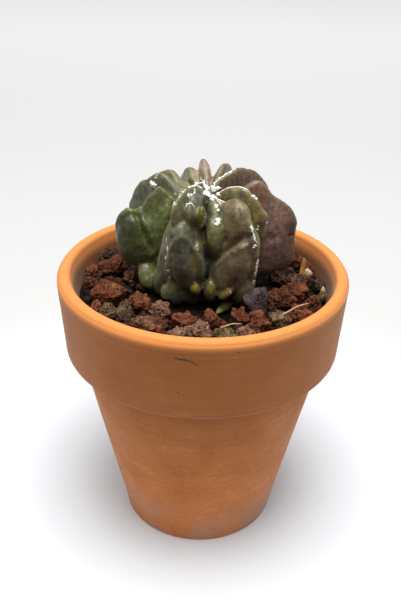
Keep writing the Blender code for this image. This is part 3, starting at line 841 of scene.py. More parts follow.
@dataclass
class ClayPot:
    """The hand-finished clay pot: tapered body, collar, rounded lip and drain hole."""

    rim_radius: float = 52.0 * MM
    height: float = 104.6 * MM
    foot_radius: float = 29.6 * MM
    body_top_radius: float = 45.0 * MM
    collar_foot_radius: float = 50.3 * MM
    collar_foot: float = 73.4 * MM
    collar_corner: float = 2.8 * MM
    foot_corner: float = 0.8 * MM
    lip_outer_round: float = 2.8 * MM
    lip_inner_round: float = 2.0 * MM
    floor_thickness: float = 6.0 * MM
    cavity_foot_radius: float = 24.8 * MM
    cavity_corner: float = 3.0 * MM
    cavity_slope: float = 0.226
    drain_radius: float = 6.5 * MM
    spin_steps: int = 256
    spacing: float = 0.9 * MM
    ring_depth: float = 0.05 * MM
    unevenness: float = 0.18 * MM
    groove_depth: float = 0.16 * MM
    groove_width: float = 0.45 * MM
    collar_step: float = 0.6 * MM
    still_foot: float = 0.5 * MM        # the foot below this height keeps its turned shape
    nub_rise: float = 1.6 * MM
    nub_height: float = 0.28            # mm
    nub_radius: float = 1.0 * MM

    MARKS = tuple(ClayMark(*row) for row in (
        ((-99, 98.6, 51.8), (-96.4, 98.2, 51.8), 0.45, 0.75),
        ((-96.8, 98.3, 51.8), (-94.6, 97.9, 51.8), 0.75, 0.7),
        ((-95, 98, 51.8), (-92.8, 97.4, 51.8), 0.3, 0.7),
        ((-93.4, 97.6, 51.8), (-91, 96, 51.7), 0.4, 0.6),
        ((-97.6, 96.6, 51.7), (-95.6, 96.2, 51.7), 0.28, 0.4, False),
        ((-104, 100.6, 52), (-101.6, 100.4, 52), 0.22, 0.6),
        ((-116, 100.8, 52), (-114.6, 100.7, 52), 0.25, 0.6),
        ((-69, 100.6, 52), (-67, 100.5, 52), 0.22, 0.5), ((-143, 101, 52), (-141, 100.8, 52), 0.3, 0.6),
        ((-134, 100.6, 52), (-133.2, 100.6, 52), 0.4, 0.6),
        ((-98.5, 85.2, 51), (-96.5, 84.4, 51), 0.45, 0.6),
        ((-77.8, 100.7, 52), (-77.3, 100.6, 52), 0.45, 0.7),
        ((-86.6, 100.3, 52), (-84.6, 100.3, 52), 0.3, 0.5),
        ((-119, 60.6, 42.3), (-114, 60.4, 42.3), 0.5, 0.5, False),
        ((-60, 101.8, 51.7), (-57.5, 101.5, 51.7), 0.35, 0.5, False),
        ((-128, 102.4, 51.4), (-127, 102.2, 51.4), 0.5, 0.5, False),
    ))
    LIP_LINES = ((51.86, 100.2), (51.3, 103.2))         # radius, height of grooves, mm
    NUBS = range(-97, -93)                              # azimuths of the crumbs of clay

    def cavity_radius(self, height: float) -> float:
        """Inner radius of the tapered cavity at a height above the ground."""
        return self.cavity_foot_radius + self.cavity_slope * (height - self.floor_thickness)

    def outline(self) -> list[tuple[float, float]]:
        """(radius, height) outline, from the lip down the outside and up the inside."""
        outer = (self.rim_radius - self.lip_outer_round, self.height - self.lip_outer_round)
        mouth = self.cavity_radius(self.height)
        inner = (mouth + self.lip_inner_round, self.height - self.lip_inner_round)
        collar = (self.collar_foot_radius - self.collar_corner,
                  self.collar_foot + self.collar_corner)
        foot = (self.foot_radius - self.foot_corner, self.foot_corner)
        cavity = (self.cavity_foot_radius - self.cavity_corner,
                  self.floor_thickness + self.cavity_corner)
        points = arc(outer, self.lip_outer_round, 90, 0, 14)
        points += arc(collar, self.collar_corner, 0, -90, 9)
        points += [(self.body_top_radius + self.collar_step, self.collar_foot),
                   (self.body_top_radius, self.collar_foot - self.collar_step)]
        points += arc(foot, self.foot_corner, 0, -90, 4)
        points += [(self.drain_radius, 0.0), (self.drain_radius, self.floor_thickness)]
        points += arc(cavity, self.cavity_corner, -90, 0, 5)
        return points + arc(inner, self.lip_inner_round, 180, 90, 9) + points[:1]

    def build(self) -> Piece:
        """Model and dress the pot."""
        bm = spun(subdivided(self.outline(), self.spacing)[:-1], self.spin_steps, closed=True)
        self._throw(bm)
        lip_foot = self.height - self.lip_outer_round
        material = ClayFinish().material(self.collar_foot, lip_foot, self.MARKS)
        return add_piece("clay_pot_shell", to_mesh("clay_pot_shell", bm), material,
                         ("clay_pot",))

    def _throw(self, bm: Shape) -> None:
        """Give the turned clay its throwing lines, its lip grooves and a slight unevenness."""
        bm.normal_update()
        for vert in bm.verts:
            place = vert.co.copy()
            radius, height = place.xy.length, place.z
            if height < self.still_foot:
                continue
            lines = noise.noise(Vector((0.0, 3.1, 520.0 * height)))
            lines += 0.6 * noise.noise(Vector((40.0 * place.x, 40.0 * place.y, 900.0 * height)))
            swell = noise.noise(Vector((14.0 * place.x, 14.0 * place.y, 22.0 * height)))
            groove = sum(math.exp(-((Vector((radius, height)) - Vector(line) * MM).length
                                    / self.groove_width) ** 2) for line in self.LIP_LINES)
            depth = self.ring_depth * lines + self.unevenness * (swell - 0.6)
            vert.co = place + vert.normal * (depth - self.groove_depth * groove)
        for azimuth in self.NUBS:
            self._nub(bm, azimuth)

    def _nub(self, bm: Shape, azimuth: float) -> None:
        """Raise a crumb of clay on the collar's lower edge."""
        spot = azimuth_vector(azimuth) * self.collar_foot_radius
        spot.z = self.collar_foot + self.nub_rise
        for vert in bm.verts:
            gap = (vert.co - spot).length
            if gap < 2.5 * self.nub_radius:
                vert.co += (vert.normal * self.nub_height * MM
                            * math.exp(-(gap / self.nub_radius) ** 2))


# ---- the root ball ----

@dataclass
class RootBall:
    """The dark soil that fills the pot, lumpy on top."""

    pot: ClayPot
    top: float = 94.3 * MM
    clearance: float = 0.3 * MM
    lump_height: float = 1.0 * MM
    spin_steps: int = 176
    rings: int = 70

    def build(self) -> Piece:
        """Model and dress the soil."""
        foot = self.pot.floor_thickness + self.clearance
        edge = self.pot.cavity_radius(self.top) - self.clearance
        low = self.pot.cavity_radius(foot) - self.clearance
        profile = [(edge * ring / self.rings, self.top) for ring in range(self.rings + 1)]
        corner = self.pot.cavity_corner
        profile += arc((low - corner, foot + corner), corner, 0, -90, 3) + [(0.0, foot)]
        bm = spun(profile, self.spin_steps, closed=False)
        for vert in bm.verts:
            if vert.co.z > self.top - MERGE:
                vert.co.z += self.relief(vert.co)
        return add_piece("soil_surface", to_mesh("soil_surface", bm), SoilFinish().material(),
                         ("potting_soil",))

    def relief(self, place: Vector) -> float:
        """Height of the soil's lumps above its level at a point."""
        coarse = noise.noise(170.0 * place)
        fine = noise.noise(520.0 * place)
        crumbs = abs(noise.noise(1100.0 * place))
        return self.lump_height * (0.7 * coarse + 0.45 * fine + 0.35 * crumbs - 0.1)


# ---- the plant ----

class Tint(Enum):
    """Skin colours of the plant's ribs and lobes."""

    GREEN = (0.080, 0.096, 0.030)
    TEAL = (0.100, 0.112, 0.062)
    FERN = (0.115, 0.118, 0.050)
    SAGE = (0.165, 0.150, 0.080)
    SLATE = (0.084, 0.084, 0.058)
    KHAKI = (0.165, 0.122, 0.046)
    OLIVE = (0.095, 0.078, 0.032)
    TAN = (0.145, 0.102, 0.054)
    DUSK = (0.105, 0.064, 0.038)
    PLUM = (0.170, 0.090, 0.064)
    ROSE = (0.240, 0.170, 0.125)
    AMBER = (0.110, 0.074, 0.008)
    LIME = (0.120, 0.112, 0.014)


@dataclass(frozen=True)
class Rib:
    """One rib: a fin, by its azimuth and its edge from the crown to the foot.

    The edge holds (reach, height) in mm, and creases (place along the edge 0..1, depth in mm).
    Root and tip are its half widths at the core and at the edge, in mm.
    """

    name: str
    azimuth: float
    edge: tuple[tuple[float, float], ...]
    tint: Tint
    root: float = 4.4
    tip: float = 1.5
    swing: float = 0.0
    creases: tuple[tuple[float, float], ...] = ()

    def outward(self, along: float) -> Vector:
        """Direction in plan that the rib stands out in, at a place along it."""
        return azimuth_vector(self.azimuth + self.swing * along)

    def edge_point(self, along: float, base: Vector) -> Vector:
        """Point on the rib's edge.

        Args:
            along: place from 0 at the crown to 1 at the foot.
            base: the plant's axis on the ground.

        Returns:
            The point, in metres.
        """
        reach, height = smooth_path(self.edge, along) * MM
        return base + self.outward(along) * reach + Vector((0, 0, height))


@dataclass(frozen=True)
class Lump:
    """A swelling on the plant: an ellipsoid turned to its azimuth and rolled by its tilt.

    Reach, height and radii (outwards, sideways, upwards) are in mm; a bluntness under 1 squares
    its shoulders, and turn swings it about the vertical.
    """

    azimuth: float
    reach: float
    height: float
    radii: Point
    tint: Tint
    tilt: float = 0.0
    bluntness: float = 1.0
    turn: float = 0.0


@dataclass(frozen=True)
class Fold:
    """A furrow in the skin through (azimuth, reach, height) points; a welt if its depth is
    negative. Lengths are in mm. A tint, where given, is laid along it; the dark ones are painted shade in
    the furrow."""

    points: tuple[Point, ...]
    depth: float
    width: float
    tint: Colour | None = None


@dataclass(frozen=True)
class Patch:
    """A soft patch of colour round a spot of the skin: azimuth, reach, height and size in mm. Many are
    the skin's own colours; the darkest are painted shade and some light ones painted highlights.
    """

    azimuth: float
    reach: float
    height: float
    size: float
    tint: Colour
    strength: float = 1.0


@dataclass(frozen=True)
class WoolLine:
    """A line of woolly areoles through (azimuth, reach, height) points near the skin; a few lines are
    white tufts painted as glints.

    Width is the wool's half width, in mm, and share the part of the line that it covers.
    """

    points: tuple[Point, ...]
    width: float
    share: float = 1.0


@dataclass
class Cactus:
    """The plant: a core with ribs and swellings grown together into one skin."""

    stem: Vector
    crown: float = 130.0 * MM
    core_foot: float = 97.0 * MM
    core_radius: float = 13.0 * MM
    neck_radius: float = 12.0 * MM
    neck_foot: float = 80.0 * MM
    soil_top: float = 94.3 * MM
    rib_rings: int = 90
    rib_sides: int = 44
    valley_share: float = 0.20
    valley_room: float = 0.3 * MM
    rib_inset: float = 5 * MM
    rib_thinning: float = 1.3
    cap_gain: float = 1.35
    cap_power: float = 0.6
    crown_dip: float = 3 * MM
    shoulder: float = 121 * MM
    waist: float = 108 * MM
    hip: float = 100 * MM
    lump_sides: int = 28
    lump_rings: int = 20
    core_sides: int = 48
    voxel: float = 0.5 * MM
    relax: float = 0.5
    relax_rounds: int = 2
    wrinkle: float = 0.10 * MM
    rib_squareness: float = 0.55
    crease_width: float = 0.035
    edge_steps: int = 80
    edge_full: float = 0.4 * MM         # the edge's lighter colour, part its own and part painted highlight, is whole up to this distance
    edge_end: float = 2.4 * MM          # and gone from this one
    fold_steps: int = 40
    fold_colours: int = 12
    near_points: int = 8
    patch_end: float = 2.2              # times a patch's size
    blend_room: float = 0.6 * MM
    ray_seed: int = 5
    ray_lift: float = 0.3               # mm
    hollow_rays: int = 10
    hollow_reach: float = 9.0 * MM

    RIBS = tuple(Rib(*row) for row in (
        ("right", 4, ((3, 129), (8, 131.5), (12.8, 133.5), (15.8, 135.6), (18.6, 134.4),
            (22.8, 129.7), (27.5, 126.6), (31, 121.9), (32, 116), (31.8, 111), (30.4, 105), (26.4, 100.6),
            (21.5, 97.6), (12, 97)), Tint.PLUM, 5, 1.6, 0, ((0.57, 0.9),)),
        ("right_front", -25, ((2, 132), (7.5, 135.6), (12.2, 135.3), (17, 132.7), (19.8, 129.6),
            (22.2, 126.8), (22, 122.5), (21, 118), (18, 110), (11, 100)),
            Tint.KHAKI, 4.6, 1.5, 0, ((0.31, 0.5), (0.42, 0.5), (0.52, 0.6))),
        ("front_right", -60, ((3, 128), (9, 131), (15.5, 134.2), (19.5, 133.4), (21.8, 131),
            (24, 128.5), (26.4, 125), (27.4, 120.5), (27, 113), (25.2, 107.5), (23.4, 102.5), (13, 98)),
            Tint.TAN, 5, 1.7, 12),
        ("front_middle", -81, ((2, 131), (7, 133.2), (11, 132.3), (13.8, 129.8), (16.3, 127),
            (17.8, 123.5), (17, 119), (13, 113), (8, 105)), Tint.FERN, 4, 2.1),
        ("front_left", -116, ((3, 133), (6, 136.2), (11, 138.2), (17, 137.8), (20.6, 136.4),
            (23.4, 133.8), (24.2, 130.5), (23.4, 127), (21.6, 123.4), (24.6, 118.5), (25.4, 114),
            (24.2, 108.4), (20.6, 102.5), (11, 98.5)), Tint.FERN, 4.4, 1.5, -11),
        ("left_front", -146, ((2, 129), (9, 130), (14, 127), (17.5, 121), (20, 114), (21.5, 107),
            (20, 101.5), (12, 98)), Tint.GREEN, 3.4, 1.6),
        ("left", -174, ((2, 127), (9, 127.5), (13.5, 129), (17.2, 133.8), (21.5, 129.8), (25.2, 126),
            (28.7, 125.8), (31.6, 123.3), (33, 119.5), (32.6, 114), (31.2, 108.8), (28, 104.5),
            (14, 98.5)), Tint.GREEN, 5, 1.5, 0, ((0.38, 0.9),)),
        ("back_left_low", 158, ((2, 129), (11, 131.5), (18, 135.4), (23.5, 132.7), (27.2, 129.8),
            (30, 125), (31.5, 120), (29, 109), (16, 98.5)), Tint.TEAL, 4.4, 1.5),
        ("back_left", 138, ((2, 129), (9, 130.5), (13.5, 131.6), (18.5, 134.4), (24, 132.2),
            (28, 127), (29.5, 118), (27, 107), (15, 98.5)), Tint.SAGE, 4.4, 1.5),
        ("back", 115, ((2, 130), (8, 131.5), (15.5, 134.6), (22, 131), (27, 120), (25, 107),
            (14, 98.5)), Tint.FERN, 4.4, 2.4),
        ("back_thin", 98, ((2, 131), (8, 135), (16, 137.6), (22, 132), (26, 120), (23, 107),
            (12, 98.5)), Tint.ROSE, 3.4, 1.8),
        ("back_right", 70, ((2, 131), (8, 135.5), (16, 136.5), (24, 131.5), (30, 120), (27, 107),
            (15, 98.5)), Tint.OLIVE, 4.4, 1.5),
        ("right_back", 38, ((1, 132.5), (3.5, 136.2), (8, 137.6), (13.5, 137.3), (19, 135.3),
            (23, 132.4), (27, 127), (29, 118), (27, 108), (16, 98.5)), Tint.DUSK, 4.8, 1.7),
    ))
    LUMPS = tuple(Lump(*row) for row in (
        (-109, 18.8, 130, (2.4, 1.7, 3.8), Tint.SAGE, 4),
        (-99, 17.2, 128.6, (2.5, 1.7, 4.4), Tint.LIME, -6),
        (-112, 14, 131, (3.6, 2.6, 4.5), Tint.SLATE, 0, 0.9),
        (-107, 16, 122.5, (4, 2.4, 4.4), Tint.SLATE, 10),
        (-114, 17.6, 116.2, (7.6, 4.6, 12.4), Tint.SLATE, 11, 0.64),
        (-99.5, 18, 113.6, (4.4, 1.9, 7.6), Tint.OLIVE, 4, 0.9),
        (-124, 18.8, 101.6, (3.8, 2.6, 6.2), Tint.GREEN, 6, 0.85),
        (-112, 13.8, 102.2, (7, 5.4, 7), Tint.OLIVE, 0, 0.9),
        (-82, 10.4, 100.4, (7, 8, 5), Tint.OLIVE, 0, 0.85),
        (-57, 20.6, 103.4, (4.6, 4, 5.6), Tint.OLIVE, 10, 0.85),
        (-133, 17, 112.5, (6, 3.6, 10.5), Tint.DUSK, -6, 0.85),
        (-101.5, 20.9, 105, (2.9, 1.9, 2.7), Tint.AMBER, 30),
        (-86.5, 19.2, 103.2, (3.4, 2.6, 4.2), Tint.AMBER, 0),
        (-74, 22.8, 104.4, (3, 1.6, 3.8), Tint.AMBER, -40), (-84, 12, 108, (4, 3.4, 6), Tint.KHAKI),
        (-83, 14, 120.5, (4.2, 3.7, 7.5), Tint.FERN, 4, 0.9),
        (-61.5, 18.4, 113.8, (7.6, 5.3, 12), Tint.TAN, -27, 0.72),
        (-59, 17.2, 126.8, (5.6, 3.6, 7.2), Tint.TAN, -8, 0.8),
        (-173, 24.4, 114.4, (8.2, 4.7, 9.4), Tint.GREEN, 0, 0.78),
        (-162, 22.2, 102.2, (3.4, 2.2, 5.4), Tint.LIME, 42, 0.85),
        (-146, 18, 102, (4, 3.6, 6), Tint.GREEN, 0, 0.85),
        (-131, 21.2, 100.2, (2.3, 1.9, 3), Tint.GREEN, 0, 0.8),
        (-71, 20, 96.9, (6.6, 1.7, 1.2), Tint.LIME, 0, 1, -50),
    ))
    # dark fold tints are painted shade in their furrows
    FOLDS = tuple(Fold(*row) for row in (
        (((-176, 26, 126), (-170, 25, 122), (-164, 22.5, 116.5), (-160, 20.5, 111)),
         2, 0.8, (0.1, 0.11, 0.014)),
        (((-170, 25, 127), (-164, 23, 122), (-158, 21, 116)), -0.6, 0.9),
        (((-78, 16, 112), (-73, 19, 118), (-67, 22, 121.8), (-57, 26, 125)),
         1.5, 0.8, (0.04, 0.03, 0.01)),
        (((-76, 18, 110), (-70, 22, 117), (-64, 24.5, 120.2), (-56, 26.5, 122.6)), -0.5, 0.9),
        (((-60, 19, 133), (-60, 20.5, 129), (-62, 21, 125)), 0.5, 0.7),
        (((-68, 17, 131), (-67, 19, 127), (-69, 19, 123)), -0.4, 0.9),
        (((2, 28, 114.8), (3, 31.5, 115.6)), 0.8, 0.5),
        (((-6, 20, 131), (-5, 24, 122), (-5, 24, 112)), -0.5, 1.6),
        (((-121, 23.6, 108), (-120, 24.6, 115), (-118, 24, 121), (-111, 24, 124.6)),
         -0.9, 0.9, (0.13, 0.15, 0.045)),
        (((-111, 24, 124.6), (-104, 23, 121.6), (-98, 22, 117), (-96, 21.5, 110)),
         -0.9, 0.9, (0.11, 0.125, 0.032)),
        (((-123, 22, 121), (-126, 23.4, 115), (-126, 23, 107)), 0.7, 0.7),
        (((-52, 24, 121), (-53, 26, 115), (-54, 25, 108)), 0.5, 0.8),
        (((-32, 18, 130), (-33, 20, 125), (-34, 20, 119)), 0.3, 0.8),
        (((-93, 14, 128), (-94, 16, 122), (-92, 17, 116), (-90, 17, 110)),
         0.8, 0.9, (0.006, 0.006, 0.003)),
    ))
    # skin colour patches; the darkest, at the foot and in the valleys, are painted shade, and some light
    # spots on tops and edges are painted highlights
    TONE_SHADE_AND_HIGHLIGHT_PATCHES = tuple(Patch(*row) for row in (
        (-167, 28, 117, 6, (0.032, 0.04, 0.015), 0.9), (-160, 24, 124, 3, (0.115, 0.13, 0.045), 0.6),
        (-178, 31, 113, 3, (0.05, 0.07, 0.026), 0.6), (-158, 22, 110, 3, (0.08, 0.098, 0.02), 0.6),
        (-172, 29.5, 124.5, 2.2, (0.17, 0.17, 0.075), 0.7),
        (-168, 17.5, 131, 4, (0.14, 0.145, 0.052), 0.8), (-172, 25, 124, 1.3, (0.18, 0.19, 0.035), 0.7),
        (-166, 23.5, 120, 1.3, (0.18, 0.19, 0.03), 0.7),
        (-162, 21.5, 115.5, 1.3, (0.15, 0.16, 0.03), 0.6),
        (-165, 25.5, 108.5, 4, (0.055, 0.075, 0.035), 0.6),
        (-106, 14, 134, 3.6, (0.15, 0.15, 0.11), 0.75), (-112, 25, 119, 3.8, (0.085, 0.085, 0.062), 0.85),
        (-112, 23.5, 122, 1.6, (0.03, 0.03, 0.014), 0.7),
        (-110, 24.5, 109.5, 4.6, (0.014, 0.014, 0.009), 0.92),
        (-124, 23.5, 113, 2.6, (0.125, 0.145, 0.08), 0.7), (-100, 22, 113, 2.2, (0.1, 0.095, 0.024), 0.7),
        (-95, 20.5, 119, 2.4, (0.17, 0.13, 0.025), 0.8),
        (-131, 22.5, 118, 3.2, (0.24, 0.215, 0.145), 0.7),
        (-133, 22.5, 109, 3.6, (0.14, 0.175, 0.135), 0.7), (-108, 20, 99, 4, (0.014, 0.013, 0.006), 0.95),
        (-88, 19, 98.5, 5, (0.012, 0.011, 0.004), 0.95), (-66, 20, 99, 4.4, (0.016, 0.013, 0.005), 0.9),
        (-150, 20, 100, 3.4, (0.03, 0.034, 0.014), 0.8), (-6, 24, 98.6, 4, (0.02, 0.015, 0.013), 0.85),
        (-109, 21, 130, 2.4, (0.13, 0.14, 0.06), 0.7), (-103, 17, 127, 1.6, (0.006, 0.006, 0.003), 0.9),
        (-85, 17, 124, 2, (0.2, 0.22, 0.09), 0.6), (-84, 17, 117.5, 3.2, (0.095, 0.105, 0.03), 0.7),
        (-93, 16, 121.7, 1.8, (0.24, 0.185, 0.025), 0.7),
        (-91, 16.5, 115, 2.4, (0.006, 0.006, 0.004), 0.95),
        (-84, 17.5, 110, 3.6, (0.04, 0.025, 0.005), 0.92),
        (-73, 19, 126.5, 2.2, (0.18, 0.125, 0.018), 0.8), (-58, 22, 130, 3, (0.23, 0.165, 0.105), 0.7),
        (-66, 20, 128, 2.6, (0.11, 0.1, 0.036), 0.7), (-62, 23, 124, 1.8, (0.05, 0.036, 0.012), 0.8),
        (-54, 25.5, 118, 3.6, (0.165, 0.125, 0.075), 0.6), (-62, 24, 114, 3, (0.115, 0.08, 0.045), 0.5),
        (-66, 23.5, 119.5, 3.2, (0.08, 0.053, 0.028), 0.7),
        (-70, 24, 112.5, 4.8, (0.048, 0.033, 0.014), 0.85), (-55, 23, 106.5, 4, (0.1, 0.09, 0.045), 0.7),
        (-31, 11.5, 133.5, 3, (0.19, 0.165, 0.07), 0.6), (-27, 21, 120, 3.4, (0.075, 0.058, 0.025), 0.8),
        (-2, 23.5, 112, 5, (0.195, 0.14, 0.128), 0.8), (2, 31, 118.5, 4.4, (0.075, 0.034, 0.022), 0.75),
        (1, 29, 107, 4, (0.11, 0.075, 0.058), 0.6), (-8, 25, 107, 3, (0.11, 0.1, 0.1), 0.5),
        (30, 6, 135, 3, (0.11, 0.09, 0.036), 0.7), (160, 29, 124, 3.4, (0.13, 0.147, 0.096), 0.6),
        (-167, 25, 105, 1.5, (0.25, 0.2, 0.08), 0.6), (-74, 22, 96.8, 3.6, (0.15, 0.145, 0.03), 0.8),
        (-66, 18, 99, 2.6, (0.07, 0.07, 0.05), 0.8), (-97, 19, 129, 2.2, (0.15, 0.11, 0.012), 0.8),
        (-101, 22.4, 106.2, 2, (0.23, 0.165, 0.018), 0.85),
        (-86, 21.8, 104.6, 2.2, (0.17, 0.135, 0.016), 0.85),
        (-73, 24.6, 105.6, 2.4, (0.22, 0.155, 0.022), 0.85),
        (-94, 20.5, 103.6, 1.5, (0.006, 0.005, 0.002), 0.9),
        (-79, 20.5, 104, 1.2, (0.006, 0.005, 0.002), 0.9),
        (-163, 25, 102.5, 3.2, (0.09, 0.092, 0.02), 0.8), (98, 11, 136, 4, (0.33, 0.215, 0.165), 0.8),
        (-112, 21, 101.5, 4.2, (0.016, 0.017, 0.008), 0.95),
        (-80, 22, 104.5, 2.8, (0.12, 0.092, 0.018), 0.75),
        (-98, 21.5, 109, 2.6, (0.03, 0.028, 0.009), 0.9), (-100, 22.5, 116, 2.2, (0.11, 0.1, 0.026), 0.7),
        (-127, 21.5, 130.5, 2.6, (0.21, 0.215, 0.11), 0.7),
        (-125, 21.8, 126.4, 2.6, (0.19, 0.19, 0.095), 0.7),
        (-14, 22.5, 105, 3, (0.21, 0.155, 0.135), 0.8), (-24, 22.5, 107, 2.6, (0.15, 0.115, 0.085), 0.7),
        (-118, 22, 99, 2.6, (0.022, 0.024, 0.012), 0.85), (-157, 22, 101, 2.4, (0.03, 0.032, 0.01), 0.85),
        (-122, 22.5, 105.5, 3, (0.17, 0.2, 0.12), 0.85), (-120, 21.5, 100.5, 3, (0.12, 0.15, 0.08), 0.85),
        (-131, 23, 100.5, 2.4, (0.15, 0.18, 0.09), 0.8),
        (-131, 22.5, 106.5, 2.4, (0.19, 0.22, 0.15), 0.8),
        (-94, 19.3, 117, 2.2, (0.01, 0.009, 0.003), 0.95),
        (-92, 21, 113.5, 2.4, (0.008, 0.007, 0.003), 0.95),
        (-92, 20.5, 110, 2.2, (0.008, 0.007, 0.003), 0.95),
        (-96, 20.5, 106.5, 2, (0.014, 0.012, 0.004), 0.85),
        (-82, 16.5, 112, 2.6, (0.03, 0.024, 0.005), 0.85),
        (-76, 22.6, 112, 3, (0.045, 0.032, 0.013), 0.85),
        (-70, 25.5, 109.5, 3.6, (0.05, 0.034, 0.016), 0.8),
        (-171, 28.8, 122.8, 3.6, (0.02, 0.026, 0.009), 0.92),
        (-168, 30.8, 119.5, 3, (0.034, 0.042, 0.014), 0.8),
        (-118, 23.6, 128.5, 1.8, (0.24, 0.225, 0.12), 0.8),
        (-112, 19.6, 127.4, 2, (0.21, 0.19, 0.1), 0.8), (-165, 16.5, 125.4, 3, (0.2, 0.225, 0.08), 0.8),
        (-165, 15, 128.5, 2.4, (0.21, 0.235, 0.095), 0.7),
        (-67, 20.4, 121.4, 1.8, (0.26, 0.205, 0.11), 0.8),
        (-61, 23.5, 122, 1.8, (0.24, 0.185, 0.105), 0.8), (-56, 25, 122, 1.8, (0.22, 0.17, 0.095), 0.7),
        (-2, 22, 125, 3.2, (0.23, 0.15, 0.115), 0.75), (-3, 23.6, 119, 3.4, (0.26, 0.18, 0.15), 0.75),
        (-1, 26.5, 113.7, 3.2, (0.2, 0.135, 0.115), 0.6),
        (-163, 26, 115, 3.6, (0.082, 0.102, 0.036), 0.7),
        (-160, 21, 117.5, 2.4, (0.15, 0.19, 0.06), 0.75),
        (-163, 19.5, 112, 2.6, (0.13, 0.16, 0.045), 0.75), (162, 22, 129, 2.8, (0.15, 0.165, 0.11), 0.7),
    ))
    WOOL_AND_GLINT_LINES = tuple(WoolLine(*row) for row in (
        (((72, 5, 132.3), (60, 8, 134), (42, 10, 136.6)), 0.36, 0.8),
        (((60, 4, 133), (40, 7, 137), (38, 11, 137.8)), 0.46, 0.8),
        (((-25, 3, 132), (-25, 7, 135.4), (-25, 12, 135.4), (-25, 14.4, 134.4)), 0.38),
        (((-25, 16, 132.9), (-25, 17.2, 132.1)), 0.66), (((-26, 21.8, 124.4), (-26, 22, 123.6)), 0.35),
        (((-29, 19, 122.4), (-29, 19.4, 121.8)), 0.35),
        (((-117, 5, 135.4), (-117, 10, 138.2), (-118, 14, 138.4)), 0.55, 0.8),
        (((-119, 17, 137.8), (-119, 20.5, 136.5)), 0.38, 0.6),
        (((-115, 16, 135.8), (-115, 17, 135.2)), 0.75), (((-120, 22.2, 134.4), (-120, 23, 133.4)), 0.6),
        (((-114, 12.5, 136.4), (-113, 13.5, 136)), 0.5),
        (((-122, 21.8, 122.4), (-123, 23, 120.2), (-124, 24.4, 118)), 0.58),
        (((-124, 24.8, 116), (-124, 24.9, 115.4)), 0.3), (((-124, 25, 113.6), (-124, 25, 113)), 0.32),
        (((-123, 24.6, 111.4), (-123, 24.5, 111)), 0.35),
        (((-123, 24, 109), (-124, 22, 104.5)), 0.22, 0.45),
        (((-115, 18.6, 132.2), (-111, 17.6, 133), (-107, 17.4, 132.4)), 0.36),
        # white tufts painted as glints along the bud's right rim
        (((-102, 15.5, 130.6), (-95, 18, 130), (-93, 19, 128.4), (-96, 19.4, 126.6)), 0.2, 0.5),
        (((-85, 2, 131.6), (-81, 5, 133), (-80, 8, 133.6)), 0.75),
        (((-60, 3, 131), (-55, 6, 131.5), (-60, 8, 131)), 0.35),
        (((-80, 12.8, 131), (-80, 13.6, 130.2)), 0.75), (((-78, 15.8, 127.4), (-80, 16.8, 126.2)), 0.72),
        (((-56, 24.6, 128), (-56, 25.8, 125.4), (-55, 27, 122.6)), 0.36),
        (((-56, 26.8, 121.6), (-56, 26.8, 121)), 0.42, 0.8),
        (((-52, 27.2, 116), (-53, 26.8, 112), (-52, 26, 109)), 0.32, 0.8),
        (((-51, 25, 107), (-51, 24.8, 106.2)), 0.5), (((162, 20, 130.8), (160, 21.5, 131.4)), 0.95),
        (((160, 20, 133.4), (159, 19.4, 134.6)), 0.3), (((159, 23.4, 132.6), (159, 24, 132.2)), 0.35),
        (((-165, 13.7, 130.4), (-163, 14, 128.6), (-165, 16, 127.4)), 0.28, 0.5),
        (((110, 1, 130.6), (122, 5, 131.6), (124, 8, 133)), 0.74),
        (((-100, 5, 133.2), (-92, 7, 133.6), (-81, 8, 134)), 0.58),
        (((-81, 8, 134), (-66, 8, 133.2), (-52, 8, 131.5)), 0.58),
        (((-92, 9, 132.8), (-84, 10, 132.6)), 0.5), (((-74, 10, 132.4), (-68, 10.5, 131)), 0.4),
        (((4, 31.6, 117), (6, 32.2, 112), (8, 31, 107.5)), 0.28, 0.8),
        (((110, 7, 132.4), (112, 10, 133)), 0.3, 0.6),
        # these two lines are white tufts painted as glints on the amber nodules
        (((-102, 22.4, 107.4), (-99, 22.6, 106.4)), 0.2, 0.6),
        (((-74, 25.2, 106.4), (-72, 25.4, 104.8)), 0.24, 0.7),
        (((5, 30.4, 106), (5, 32.4, 113)), 0.16, 0.5),
    ))

    def spot(self, azimuth: float, reach: float, height: float) -> Vector:
        """Point by its azimuth from the stem, with its reach and height in mm."""
        return self.stem + azimuth_vector(azimuth) * reach * MM + UP * (height * MM)

    def build(self) -> Piece:
        """Model and dress the plant's body."""
        mesh, owners = self._grown_together()
        self._crease(mesh)
        self._paint(mesh, owners)
        return add_piece("cactus_body", mesh, SkinFinish().material(),
                         ("cactus",))

    def _rib_shape(self, rib: Rib) -> Shape:
        """A sphere drawn out into a fin, thick at the core and narrow at its rounded edge."""
        bm = bmesh.new()
        bmesh.ops.create_uvsphere(bm, u_segments=self.rib_sides, v_segments=self.rib_rings,
                                  radius=1.0)
        core_top, core_foot = self.crown - self.rib_inset, self.core_foot + self.rib_inset
        for vert in bm.verts:
            along = math.acos(max(-1.0, min(1.0, vert.co.z))) / math.pi
            around = math.atan2(vert.co.y, vert.co.x)
            dent = MM * sum(depth * math.exp(-((along - place) / self.crease_width) ** 2)
                            for place, depth in rib.creases)
            cap = min(1.0, self.cap_gain * math.sin(math.pi * along) ** self.cap_power)
            outward = rib.outward(along)
            sideways = across(outward)
            inner = self.stem + Vector((0, 0, core_top + (core_foot - core_top) * along))
            outer = rib.edge_point(along, self.stem) - outward * dent
            middle, half = (inner + outer) / 2, (outer - inner) / 2
            outness, side = math.cos(around), math.sin(around)
            spot = middle + cap * half * outness
            thin = ((1 + outness) / 2) ** self.rib_thinning
            width = (rib.root + (rib.tip - rib.root) * thin) * MM
            room = self.valley_share * (spot - self.stem).xy.length + self.valley_room
            squared = signed_power(side, self.rib_squareness)
            vert.co = spot + cap * sideways * min(width, room) * squared
        return bm

